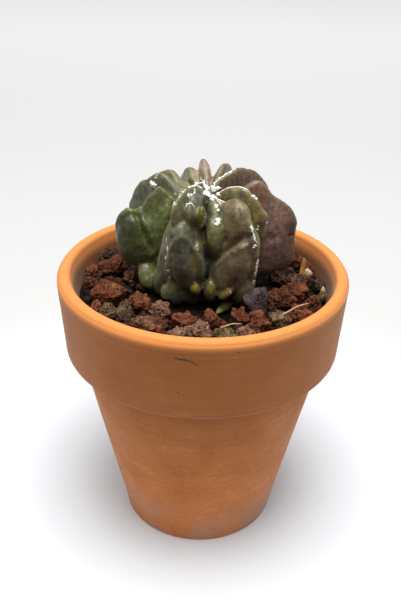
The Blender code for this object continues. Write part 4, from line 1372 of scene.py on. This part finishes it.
    def _lump_shape(self, lump: Lump) -> Shape:
        """An ellipsoid in its place, with squared shoulders if it is blunt."""
        bm = bmesh.new()
        bmesh.ops.create_uvsphere(bm, u_segments=self.lump_sides, v_segments=self.lump_rings,
                                  radius=1.0)
        outward = azimuth_vector(lump.azimuth + lump.turn)
        sideways = across(outward)
        centre = self.spot(lump.azimuth, lump.reach, lump.height)
        roll = math.radians(lump.tilt)
        for vert in bm.verts:
            out, side, up = (signed_power(c, lump.bluntness) * r * MM
                             for c, r in zip(vert.co, lump.radii))
            side, up = (side * math.cos(roll) - up * math.sin(roll),
                        side * math.sin(roll) + up * math.cos(roll))
            vert.co = centre + outward * out + sideways * side + Vector((0, 0, up))
        return bm

    def _core_shape(self) -> Shape:
        """The core, dipped at the crown and drawn in at the foot, with its root neck."""
        dip = self.crown_dip
        profile = ((0.0, self.crown), (dip, self.crown), (2 * dip, self.crown - dip),
                   (0.8 * self.core_radius, self.shoulder), (self.core_radius, self.waist),
                   (self.core_radius, self.hip), (self.neck_radius, self.core_foot),
                   (self.neck_radius, self.soil_top),
                   (0.75 * self.neck_radius, 0.5 * (self.soil_top + self.neck_foot)),
                   (0.4 * self.neck_radius, self.neck_foot), (0.0, self.neck_foot))
        bm = spun(profile, self.core_sides, closed=False)
        bmesh.ops.translate(bm, verts=bm.verts, vec=self.stem)
        return bm

    def _grown_together(self) -> tuple[Mesh, list[tuple[Vector, Tint]]]:
        """Join the core, ribs and lumps in one skin.

        Returns:
            The skin's mesh, and the points of the shapes that it grew from, with their tints.
        """
        shapes = [(self._core_shape(), Tint.AMBER)]
        shapes += [(self._rib_shape(rib), rib.tint) for rib in self.RIBS]
        shapes += [(self._lump_shape(lump), lump.tint) for lump in self.LUMPS]
        joined, owners = bmesh.new(), []
        for shape, tint in shapes:
            bmesh.ops.recalc_face_normals(shape, faces=shape.faces)
            owners += [(vert.co.copy(), tint) for vert in shape.verts]
            take_in(joined, shape)
        skin = show("skin", to_mesh("skin", joined))
        remesh = skin.modifiers.new("Grown together", "REMESH")
        remesh.mode = "VOXEL"
        remesh.voxel_size = self.voxel
        relax = skin.modifiers.new("Soft skin", "SMOOTH")
        relax.factor = self.relax
        relax.iterations = self.relax_rounds
        graph = bpy.context.evaluated_depsgraph_get()
        mesh = bpy.data.meshes.new_from_object(skin.evaluated_get(graph))
        bpy.data.objects.remove(skin)
        mesh.name = "cactus_body"
        mesh.shade_smooth()
        return mesh, owners

    def _crease(self, mesh: Mesh) -> None:
        """Draw the folds into the skin, and wrinkle it finely."""
        surface = surface_of(mesh)
        near = points_tree([vert.co for vert in mesh.vertices])
        moves: dict[int, float] = {}
        for fold in self.FOLDS:
            path = [self.spot(*point) for point in fold.points]
            closest: dict[int, tuple[float, float]] = {}
            for step in range(self.fold_steps + 1):
                target = surface.find_nearest(smooth_path(path, step / self.fold_steps))[0]
                fade = math.sin(math.pi * (0.1 + 0.8 * step / self.fold_steps))
                for _, index, gap in near.find_range(target, 2.5 * fold.width * MM):
                    if index not in closest or gap < closest[index][0]:
                        closest[index] = (gap, fade)
            for index, (gap, fade) in closest.items():
                depth = fold.depth * MM * fade * math.exp(-(gap / (fold.width * MM)) ** 2)
                moves[index] = moves.get(index, 0.0) + depth
        normals = [vert.normal.copy() for vert in mesh.vertices]
        for index, (vert, normal) in enumerate(zip(mesh.vertices, normals)):
            place = vert.co.copy()
            swell = 1.6 * noise.noise(150.0 * place) + noise.noise(300.0 * place)
            swell += 0.5 * noise.noise(640.0 * place)
            drawn = noise.noise(Vector((1200 * place.x, 1200 * place.y, 260 * place.z)))
            push = self.wrinkle * (2.0 * swell + 0.8 * drawn) - moves.get(index, 0.0)
            vert.co = place + normal * push

    def _paint(self, mesh: Mesh, owners: list[tuple[Vector, Tint]]) -> None:
        """Store the skin's tint, with its painted shade and highlight patches, its nearness to a rib's
        edge, which sets the edges' painted highlight, and its depth in a hollow, which sets painted
        shade.

        Args:
            mesh: the skin.
            owners: points of the shapes that it grew from, with their tints.
        """
        tree = points_tree([place for place, _ in owners])
        steps = self.edge_steps
        edges = points_tree([rib.edge_point(step / steps, self.stem)
                             for rib in self.RIBS for step in range(steps)])
        tone_shade_and_highlight_patches = [(self.spot(p.azimuth, p.reach, p.height), p.size * MM, Vector(p.tint),
                    p.strength) for p in self.TONE_SHADE_AND_HIGHLIGHT_PATCHES]
        for fold in self.FOLDS:
            path = [self.spot(*point) for point in fold.points]
            if fold.tint:
                tone_shade_and_highlight_patches += [(smooth_path(path, step / self.fold_colours),
                             1.1 * fold.width * MM, Vector(fold.tint), 0.6)
                            for step in range(self.fold_colours + 1)]
        tints, edge_highlight_values = [], []
        for vert in mesh.vertices:
            place = vert.co
            weight, mixed = 0.0, Vector((0.0, 0.0, 0.0))
            for _, index, gap in tree.find_n(place, self.near_points):
                share = 1.0 / (gap + self.blend_room) ** 2
                mixed += share * Vector(owners[index][1].value)
                weight += share
            mixed /= weight
            for centre, size, tint, strength in tone_shade_and_highlight_patches:
                gap = (place - centre).length / size
                if gap < self.patch_end:
                    mixed = mixed.lerp(tint, strength * math.exp(-gap * gap))
            tints.append(mixed)
            _, _, gap = edges.find(place)
            edge_highlight_values.append(1.0 - smooth_step(self.edge_full, self.edge_end, gap))
        set_colours(mesh, "tint", tints)
        set_values(mesh, "edge", edge_highlight_values)
        set_values(mesh, "hollow", self._hollows(mesh))

    def _hollows(self, mesh: Mesh) -> list[float]:
        """How closed in each vertex is, by rays towards its surroundings; it sets where the skin gets
        painted shade.
        """
        tree = surface_of(mesh)
        rng = random.Random(self.ray_seed)
        rays = []
        while len(rays) < self.hollow_rays:
            ray = random_vector(rng, 1)
            if 0.1 < ray.length < 1.0:
                rays.append(ray.normalized())
        values = []
        for vert in mesh.vertices:
            start = vert.co + vert.normal * self.ray_lift * MM
            hits = 0.0
            for ray in rays:
                way = (ray + 1.1 * vert.normal).normalized()
                _, _, _, gap = tree.ray_cast(start, way, self.hollow_reach)
                if gap is not None:
                    hits += 1.0 - 0.6 * gap / self.hollow_reach
            values.append(smooth_step(0.25, 0.9, hits / len(rays)))
        return values


@dataclass
class AreoleWoolAndGlints:
    """The white woolly tufts along the plant's ribs, and a few white tufts that are painted glints on a
    bud and on the amber nodules.
    """

    plant: Cactus
    skin: Mesh
    spacing: float = 0.34 * MM
    tuft_flatness: float = 0.42
    fibre_root: float = 0.07 * MM
    fibre_tip: float = 0.03 * MM
    fibre_length: float = 1.3           # times the tuft's size
    strand_sides: int = 7
    strand_step: float = 0.12 * MM
    tuft_fibres: int = 2
    seed: int = 21
    crown_tufts: int = 70
    crown_radius: float = 3.4
    crown_height: float = 132.0

    def build(self) -> Piece:
        """Model and dress the wool."""
        tree = surface_of(self.skin)
        rng = random.Random(self.seed)
        bm = bmesh.new()
        for line in Cactus.WOOL_AND_GLINT_LINES:
            self._line(bm, tree, line, rng)
        for _ in range(self.crown_tufts):
            spot = self.plant.spot(rng.uniform(0, 360),
                                   self.crown_radius * math.sqrt(rng.random()), self.crown_height)
            self._tuft(bm, tree, spot + Vector((0, 0.6 * MM, 0)), rng.uniform(0.4, 0.75) * MM,
                       rng)
        return add_piece("areole_wool_and_glints", to_mesh("areole_wool_and_glints", bm), WoolFinish().material())

    def _line(self, bm: Shape, tree: BVHTree, line: WoolLine, rng: random.Random) -> None:
        """Set tufts along one line."""
        path = [self.plant.spot(*point) for point in line.points]
        length = sum((b - a).length for a, b in zip(path, path[1:]))
        count = max(2, round(length / self.spacing))
        if line.share > 0.7 and count > 4:
            self._strand(bm, tree, [smooth_path(path, t / count) for t in range(count + 1)],
                         line.width * MM, rng.uniform(0, 90))
        for step in range(count + 1):
            if rng.random() > line.share:
                continue
            spread = random_vector(rng, 0.8) * line.width * MM
            self._tuft(bm, tree, smooth_path(path, step / count) + spread,
                       line.width * MM * rng.uniform(0.40, 0.95), rng)

    def _strand(self, bm: Shape, tree: BVHTree, path: Sequence[Vector], width: float,
                shift: float) -> None:
        """Lay a ragged strand of felt on the skin along a path."""
        laid = []
        for point in path:
            spot, normal, _, _ = tree.find_nearest(point)
            if not laid or (spot - laid[-1]).length > self.strand_step:
                laid.append(spot + 0.2 * width * normal)
        last = len(laid) - 1

        def radius(place: float) -> float:
            """Ragged half width, thin at both ends."""
            ragged = 0.55 + 0.8 * noise.noise(Vector((9.0 * place * last / 6, shift, 0.0)))
            return width * max(0.2, ragged) * (0.3 + 0.7 * math.sin(math.pi * place) ** 0.5)
        take_in(bm, tube(laid, radius, self.strand_sides))

    def _tuft(self, bm: Shape, tree: BVHTree, target: Vector, size: float,
              rng: random.Random) -> None:
        """Lay a flattened, lumpy tuft with a few fibres on the skin nearest to a point."""
        spot, normal, _, _ = tree.find_nearest(target)
        turn = facing(normal)
        made = bmesh.ops.create_icosphere(bm, subdivisions=2, radius=1.0)
        shift = random_vector(rng, 9)
        stretch = rng.uniform(0.8, 1.5)
        for vert in made["verts"]:
            grown = 1.0 + 0.9 * noise.noise(1.7 * vert.co + shift)
            local = vert.co * grown * size
            local.x *= stretch
            local.z *= self.tuft_flatness
            vert.co = spot + turn @ local
        for _ in range(self.tuft_fibres):
            fibre = bmesh.ops.create_cone(bm, cap_ends=True, segments=3,
                                          radius1=self.fibre_root, radius2=self.fibre_tip,
                                          depth=size * self.fibre_length)
            lean = Vector((rng.uniform(-1, 1), rng.uniform(-1, 1), rng.uniform(0.1, 0.6)))
            way = (turn @ lean).normalized()
            place = Matrix.Translation(spot + way * size * 0.7)
            bmesh.ops.transform(bm, verts=fibre["verts"],
                                matrix=place @ facing(way).to_4x4())


# ---- the top dressing ----

@dataclass(frozen=True)
class StoneShape:
    """How a stone is shaped: flat cuts, coarse and fine roughness, and pore size, mm."""

    cuts: int = 6
    cut_depth: float = 0.74
    coarse: float = 0.30
    fine: float = 0.26
    pore: float = 1.0
    pore_depth: float = 0.85
    grow: float = 1.2


@dataclass
class TopDressing:
    """The loose stones on the soil, each in its CAD node's place."""

    detail: int = 5
    large: float = 4.6 * MM

    LOOKS = {f"lava_stone_{number:02d}": rock for rock, numbers in (
        (Rock.RED, (4, 17, 21, 22)), (Rock.RUST, (6, 9, 16, 19, 20)), (Rock.TAN, (7, 10, 12)),
        (Rock.BROWN, (2, 25, 26, 27)), (Rock.MAUVE, (14, 15, 18))) for number in numbers}
    SHAPES = {
        Rock.RED: StoneShape(), Rock.RUST: StoneShape(cuts=7),
        Rock.BROWN: StoneShape(cuts=5, coarse=0.18), Rock.TAN: StoneShape(cuts=8, pore=0.9),
        Rock.MAUVE: StoneShape(cuts=5, pore=0.9, pore_depth=0.4),
        Rock.OLIVE: StoneShape(cuts=4, coarse=0.16, pore_depth=0.25),
        Rock.GREY: StoneShape(cuts=9, cut_depth=0.66, coarse=0.1, fine=0.07, pore_depth=0.15,
                              grow=1.36),
        Rock.PALE: StoneShape(cuts=3, coarse=0.1, fine=0.05, pore_depth=0.05, grow=1.0),
    }
    SMOOTHER = {"lava_stone_06": StoneShape(cuts=7, coarse=0.16, fine=0.12, pore_depth=0.4),
                "lava_stone_22": StoneShape(cuts=4, coarse=0.16, fine=0.14, pore_depth=0.4)}
    SLOTS = {Rock.OLIVE: "pumice", Rock.GREY: "grey_rock", Rock.PALE: "grit"}

    def build(self) -> list[Piece]:
        """Model and dress every stone.

        Returns:
            The stones' objects.
        """
        materials = {rock: rock.value.material() for rock in Rock}
        stones = []
        names = [n for n in sorted(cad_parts)
                 if n.split("_")[0] in ("lava", "pumice", "grey", "pale")]
        for seed, name in enumerate(names):
            rock = self._rock(name, seed)
            low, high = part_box(name)
            half = (high - low) / 2
            detail = self.detail + (max(half) > self.large)
            shape = self.SMOOTHER.get(name, self.SHAPES[rock])
            bm = rock_shape(half, shape, seed, detail)
            bmesh.ops.translate(bm, verts=bm.verts, vec=low + half)
            bmesh.ops.recalc_face_normals(bm, faces=bm.faces)
            mesh = to_mesh(name + "_stone", bm)
            stones.append(add_piece(name + "_rock", mesh, materials[rock],
                                    (name,)))
        return stones

    def _rock(self, name: str, seed: int) -> Rock:
        """The kind of stone that a CAD node is."""
        if name in self.LOOKS:
            return self.LOOKS[name]
        kinds = {"pumice": (Rock.OLIVE,), "grey": (Rock.GREY,), "pale": (Rock.PALE,)}
        some = kinds.get(name.split("_")[0], (Rock.RED, Rock.RUST, Rock.BROWN, Rock.RED, Rock.TAN))
        return some[(seed * 7) % len(some)]


def rock_shape(half: Vector, shape: StoneShape, seed: int, detail: int) -> Shape:
    """A broken, pitted stone round the origin.

    Args:
        half: half sizes that it fills.
        shape: how it is cut and roughened.
        seed: makes each stone differ.
        detail: subdivisions of the sphere it starts from.

    Returns:
        The stone, with vertex layers for its pores and its crests, which set its painted shade and
        painted highlights.
    """
    rng = random.Random(STONE_SEED + seed)
    bm = bmesh.new()
    pore_layer = bm.verts.layers.float.new("pore")
    crest_highlight_layer = bm.verts.layers.float.new("crest_highlight")
    bmesh.ops.create_icosphere(bm, subdivisions=detail, radius=1.0)
    cuts = []
    for _ in range(shape.cuts):
        way = Vector((rng.uniform(-1, 1), rng.uniform(-1, 1), rng.uniform(-0.4, 1))).normalized()
        cuts.append((way, shape.cut_depth + rng.uniform(-0.12, 0.15)))
    shift = random_vector(rng, 50)
    width = max(half)
    for vert in bm.verts:
        place = vert.co.copy()
        for way, depth in cuts:
            over = place.dot(way) - depth
            if over > 0:
                place -= way * over * 0.9
        real = Vector(p * h for p, h in zip(place, half)) / MM
        coarse = noise.noise(place * 1.5 + shift)
        medium = noise.noise(real * 0.5 + shift)
        ridged = 0.5 - 2 * abs(noise.noise(real * 0.85 - shift))
        fine = noise.noise(real * 1.9 + shift) + 0.6 * noise.noise(real * 3.6 - shift)
        pores, _ = noise.voronoi(real / shape.pore + shift)
        pit = 1.0 - smooth_step(0.12, 0.52, pores[0])
        pit *= smooth_step(-0.15, 0.2, noise.noise(real * 0.6 - shift))
        swell = 1.0 + shape.coarse * coarse
        vert.co = Vector(p * h for p, h in zip(place * swell, half)) * shape.grow
        rough = shape.fine * (0.8 * medium + 0.45 * ridged + 0.45 * fine)
        push = rough * min(half) - shape.pore_depth * pit * MM * min(1.0, width / (3 * MM))
        vert.co += place.normalized() * push
        # the pore value sets painted shade, the crest value a painted highlight
        vert[pore_layer] = pit
        vert[crest_highlight_layer] = smooth_step(0.0, 0.5, 0.5 * medium + 0.5 * ridged + 0.5 * fine)
    return bm


@dataclass
class Fines:
    """The small broken pieces and crumbs between the stones."""

    pot: ClayPot
    soil: RootBall
    stem: Vector
    inner: float = 20.0 * MM
    packed: float = 34.0 * MM

    SEED_STEP = 5000
    CHIP = StoneShape(cuts=7, pore_depth=0.0, fine=0.34, cut_depth=0.66)
    LOTS = (                            # name, kind, count, smallest and largest, detail, seed
        ("lava_chips", Rock.RED, 420, (0.7, 2.2), 3, 31),
        ("rust_chips", Rock.RUST, 260, (0.6, 1.8), 2, 32),
        ("brown_chips", Rock.BROWN, 420, (0.7, 2.0), 2, 33),
        ("olive_chips", Rock.OLIVE, 150, (0.6, 1.6), 2, 34),
        ("tan_chips", Rock.TAN, 150, (0.6, 1.6), 2, 37),
        ("pale_crumbs", Rock.PALE, 60, (0.25, 0.6), 1, 38),
        ("lava_crumbs", Rock.RED, 900, (0.25, 0.7), 1, 35),
        ("brown_crumbs", Rock.BROWN, 900, (0.25, 0.7), 1, 36),
    )

    def build(self) -> list[Piece]:
        """Model and dress the chips and crumbs."""
        made = []
        for name, rock, count, sizes, detail, seed in self.LOTS:
            bm = bmesh.new()
            rng = random.Random(seed)
            for index in range(count):
                self._chip(bm, rng, sizes, detail, self.SEED_STEP * seed + index)
            material = bpy.data.materials[rock.value.name]
            made.append(add_piece(name, to_mesh(name, bm, smooth=False), material))
        return made

    def _chip(self, bm: Shape, rng: random.Random, sizes: tuple[float, float],
              detail: int, seed: int) -> None:
        """Drop one small stone on the soil outside the plant's foot."""
        size = rng.uniform(*sizes) * MM
        edge = self.pot.cavity_radius(self.soil.top) - 1.3 * size - 0.3 * MM
        reach = math.sqrt(rng.uniform((self.inner / edge) ** 2, 1.0)) * edge
        spot = azimuth_vector(rng.uniform(0, 360)) * reach
        kept = smooth_step(self.inner, self.packed, (spot - self.stem).length)
        if kept < rng.uniform(0.0, 1.0):
            return
        half = Vector((size * rng.uniform(0.8, 1.25), size * rng.uniform(0.8, 1.25),
                       size * rng.uniform(0.6, 0.9)))
        piece = rock_shape(half, self.CHIP, seed, detail)
        spot.z = self.soil.top + self.soil.relief(spot) + rng.uniform(0.3, 1.0) * half.z
        turn = Matrix.Rotation(rng.uniform(0, math.tau), 4, "Z")
        bmesh.ops.transform(piece, verts=piece.verts, matrix=Matrix.Translation(spot) @ turn)
        take_in(bm, piece)


@dataclass
class Litter:
    """The dry straws and the splinter of wood on the dressing."""

    straw_steps: int = 12
    straw_rise: float = 0.5 * MM
    straw_swing: float = 0.3 * MM
    splinter_cuts: int = 11

    def build(self) -> list[Piece]:
        """Model and dress the litter."""
        straw = DryPlantFinish("dry_straw", (0.30, 0.19, 0.08), (0.62, 0.46, 0.26)).material()
        wood = DryPlantFinish("wood_splinter", (0.40, 0.18, 0.04), (0.78, 0.44, 0.13)).material()
        made = [self._straw(name, straw) for name in sorted(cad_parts)
                if name.startswith("dry_straw")]
        return made + [self._splinter(wood)]

    def _straw(self, node: str, material: Material) -> Piece:
        """A thin, slightly bent stalk across its CAD node's box."""
        low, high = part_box(node)
        level = (low.z + high.z) / 2
        steps = self.straw_steps
        path = [Vector((low.x, low.y, level)).lerp(Vector((high.x, high.y, level)), t / steps)
                for t in range(steps + 1)]
        for step, point in enumerate(path):
            point.z += self.straw_rise * math.sin(math.pi * step / steps)
            point.x += self.straw_swing * math.sin(2.2 * math.pi * step / steps)
        bm = tube(path, lambda t: (0.28 - 0.10 * t) * MM, 8)
        return add_piece(node + "_stalk", to_mesh(node + "_stalk", bm), material,
                         (node,))

    def _splinter(self, material: Material) -> Piece:
        """A flat splinter of wood that stands among the stones, split at its top."""
        low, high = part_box("wood_chip")
        bm = bmesh.new()
        bmesh.ops.create_cube(bm, size=1.0)
        bmesh.ops.subdivide_edges(bm, edges=bm.edges, cuts=self.splinter_cuts, use_grid_fill=True)
        middle, size = (low + high) / 2, high - low
        for vert in bm.verts:
            raised = vert.co.z + 0.5
            taper = 1.0 - 0.55 * raised ** 1.5
            ragged = 0.10 * noise.noise(Vector((14 * vert.co.x, 3.0, 9 * vert.co.y)))
            grain = 0.05 * noise.noise(Vector((30 * vert.co.x, 30 * vert.co.y, 4 * raised)))
            vert.co.x = (vert.co.x + grain) * taper * 0.60 + 0.22 * (raised - 0.5)
            vert.co.y = (vert.co.y + grain) * taper * 0.60
            vert.co.z += ragged * smooth_step(0.6, 1.0, raised) + 0.12 * raised
            vert.co = middle + Vector(c * s for c, s in zip(vert.co, size))
        bmesh.ops.recalc_face_normals(bm, faces=bm.faces)
        return add_piece("wood_splinter", to_mesh("wood_splinter", bm, smooth=False), material,
                         ("wood_chip",))


def tube(path: Sequence[Vector], radius: Callable[[float], float], sides: int) -> Shape:
    """A closed tube along a path.

    Args:
        path: points along its middle.
        radius: its radius for a place from 0 to 1 along it.
        sides: number of sides.

    Returns:
        The tube.
    """
    bm = bmesh.new()
    loops = []
    last = len(path) - 1
    for step, point in enumerate(path):
        way = (path[min(last, step + 1)] - path[max(0, step - 1)]).normalized()
        ring = bmesh.ops.create_circle(bm, cap_ends=step in (0, last), segments=sides,
                                       radius=radius(step / last))
        matrix = Matrix.Translation(point) @ facing(way).to_4x4()
        bmesh.ops.transform(bm, verts=ring["verts"], matrix=matrix)
        loops.append({edge for vert in ring["verts"] for edge in vert.link_edges})
    for first, second in zip(loops, loops[1:]):
        bmesh.ops.bridge_loops(bm, edges=list(first | second))
    bmesh.ops.recalc_face_normals(bm, faces=bm.faces)
    return bm


# ---- the studio ----

@dataclass(frozen=True)
class Studio:
    """A pale floor, soft overhead light and the camera."""

    camera_target: Point = (-0.76 * MM, 0.0, 90.37 * MM)
    camera_distance: float = 293.19 * MM
    camera_pitch: float = 29.2
    camera_roll: float = 1.26
    lens: float = 47.92
    sensor: float = 36.0
    floor_size: float = 8.0
    floor_front: float = -0.13
    # floor colours with painted light: lighter and bluer near the pot, lighter far behind
    floor_near_painted_light: Colour = (0.665, 0.69, 0.715)
    floor_middle: Colour = (0.57, 0.57, 0.565)
    floor_far_painted_light: Colour = (0.715, 0.713, 0.705)
    sky: Colour = (0.86, 0.88, 0.92)
    sky_strength: float = 0.12
    sky_seen: float = 0.95
    box_size: float = 0.62
    box_place: Point = (0.03, -0.20, 1.30)
    box_power: float = 13.3
    even_strength: float = 2.8
    even_angle: float = 88.0
    even_turn: Point = (6.0, -3.0, 0.0)

    def build(self) -> None:
        """Set up the floor, the lights, the sky and the camera."""
        self._floor()
        self._lights()
        self._sky()
        self._camera()
        bpy.context.scene.view_settings.view_transform = "Standard"

    def _floor(self) -> None:
        """A wide, pale sheet that ends a little in front of the pot, with painted light: lighter and
        bluer round the pot to lift its shadow, greyer beyond, and lighter again far behind.
        """
        bm = bmesh.new()
        bmesh.ops.create_grid(bm, x_segments=8, y_segments=8, size=self.floor_size / 2)
        shift = Vector((0, self.floor_front + self.floor_size / 2, 0))
        bmesh.ops.translate(bm, verts=bm.verts, vec=shift)
        material, g, shader = new_material("pale_floor", {"Roughness": 0.9,
                                                          "Specular IOR Level": 0.1})
        place = g.place()
        depth = g.part(place, "Y")
        reach = g.length(place)
        cloud = g.noise(place, 3.0, 2.0)
        # painted light: the floor round the pot is lighter and bluer, lifting the pot's shadow
        colour = g.mix(g.span(reach, 0.08, 0.19), self.floor_near_painted_light, self.floor_middle)
        # painted light: the floor far behind is lighter, against the lamp's falloff
        away = g.math("ADD", g.span(depth, 0.38, 1.10), g.times(cloud, 0.06))
        colour = g.mix(away, colour, self.floor_far_painted_light)
        g.lead(colour, shader, "Base Color")
        mesh = to_mesh("studio_floor", bm, smooth=False)
        mesh.materials.append(material)
        floor = show("studio_floor", mesh)

    def _lights(self) -> None:
        """A large soft box overhead, and an even light from the same side."""
        box = bpy.data.lights.new("soft_box", "AREA")
        box.shape = "DISK"
        box.size = self.box_size
        box.energy = self.box_power
        lamp = show("soft_box", box)
        lamp.location = self.box_place
        lamp.rotation_euler = Vector(self.box_place).to_track_quat("Z", "Y").to_euler()
        even = bpy.data.lights.new("even_light", "SUN")
        even.energy = self.even_strength
        even.angle = math.radians(self.even_angle)
        show("even_light", even).rotation_euler = [math.radians(turn) for turn in self.even_turn]

    def _sky(self) -> None:
        """A dim, cool fill from all round, pale where the camera sees it."""
        world = bpy.data.worlds.new("studio_sky")
        world.use_nodes = True
        bpy.context.scene.world = world
        graph = Graph(world.node_tree)
        background = world.node_tree.nodes["Background"]
        background.inputs["Color"].default_value = (*self.sky, 1.0)
        seen = graph.add("LightPath").outputs["Is Camera Ray"]
        strength = graph.add("MapRange", {"Value": seen, "To Min": self.sky_strength,
                                          "To Max": self.sky_seen})
        world.node_tree.links.new(strength.outputs["Result"], background.inputs["Strength"])

    def _camera(self) -> None:
        """The camera, above the front and looking down at the plant."""
        pitch, roll = math.radians(self.camera_pitch), math.radians(self.camera_roll)
        forward = Vector((0.0, math.cos(pitch), -math.sin(pitch)))
        right = Vector((1.0, 0.0, 0.0))
        up = right.cross(forward)
        turned_right = math.cos(roll) * right + math.sin(roll) * up
        turned_up = -math.sin(roll) * right + math.cos(roll) * up
        data = bpy.data.cameras.new("camera")
        data.lens = self.lens
        data.sensor_width = self.sensor
        camera = show("camera", data)
        camera.matrix_world = Matrix((turned_right, turned_up, -forward)).transposed().to_4x4()
        camera.location = Vector(self.camera_target) - forward * self.camera_distance
        bpy.context.scene.camera = camera


def main() -> None:
    """Build the object piece by piece and set it in the studio."""
    logging.basicConfig(level=logging.INFO, format="%(message)s")
    pot = ClayPot()
    pot.build()
    soil = RootBall(pot)
    soil.build()
    plant = Cactus(stem=Vector((1.5, 4.0, 0.0)) * MM)
    body = plant.build()
    AreoleWoolAndGlints(plant, body.data).build()
    TopDressing().build()
    Fines(pot, soil, plant.stem).build()
    Litter().build()
    Studio().build()


if __name__ == "__main__":
    main()
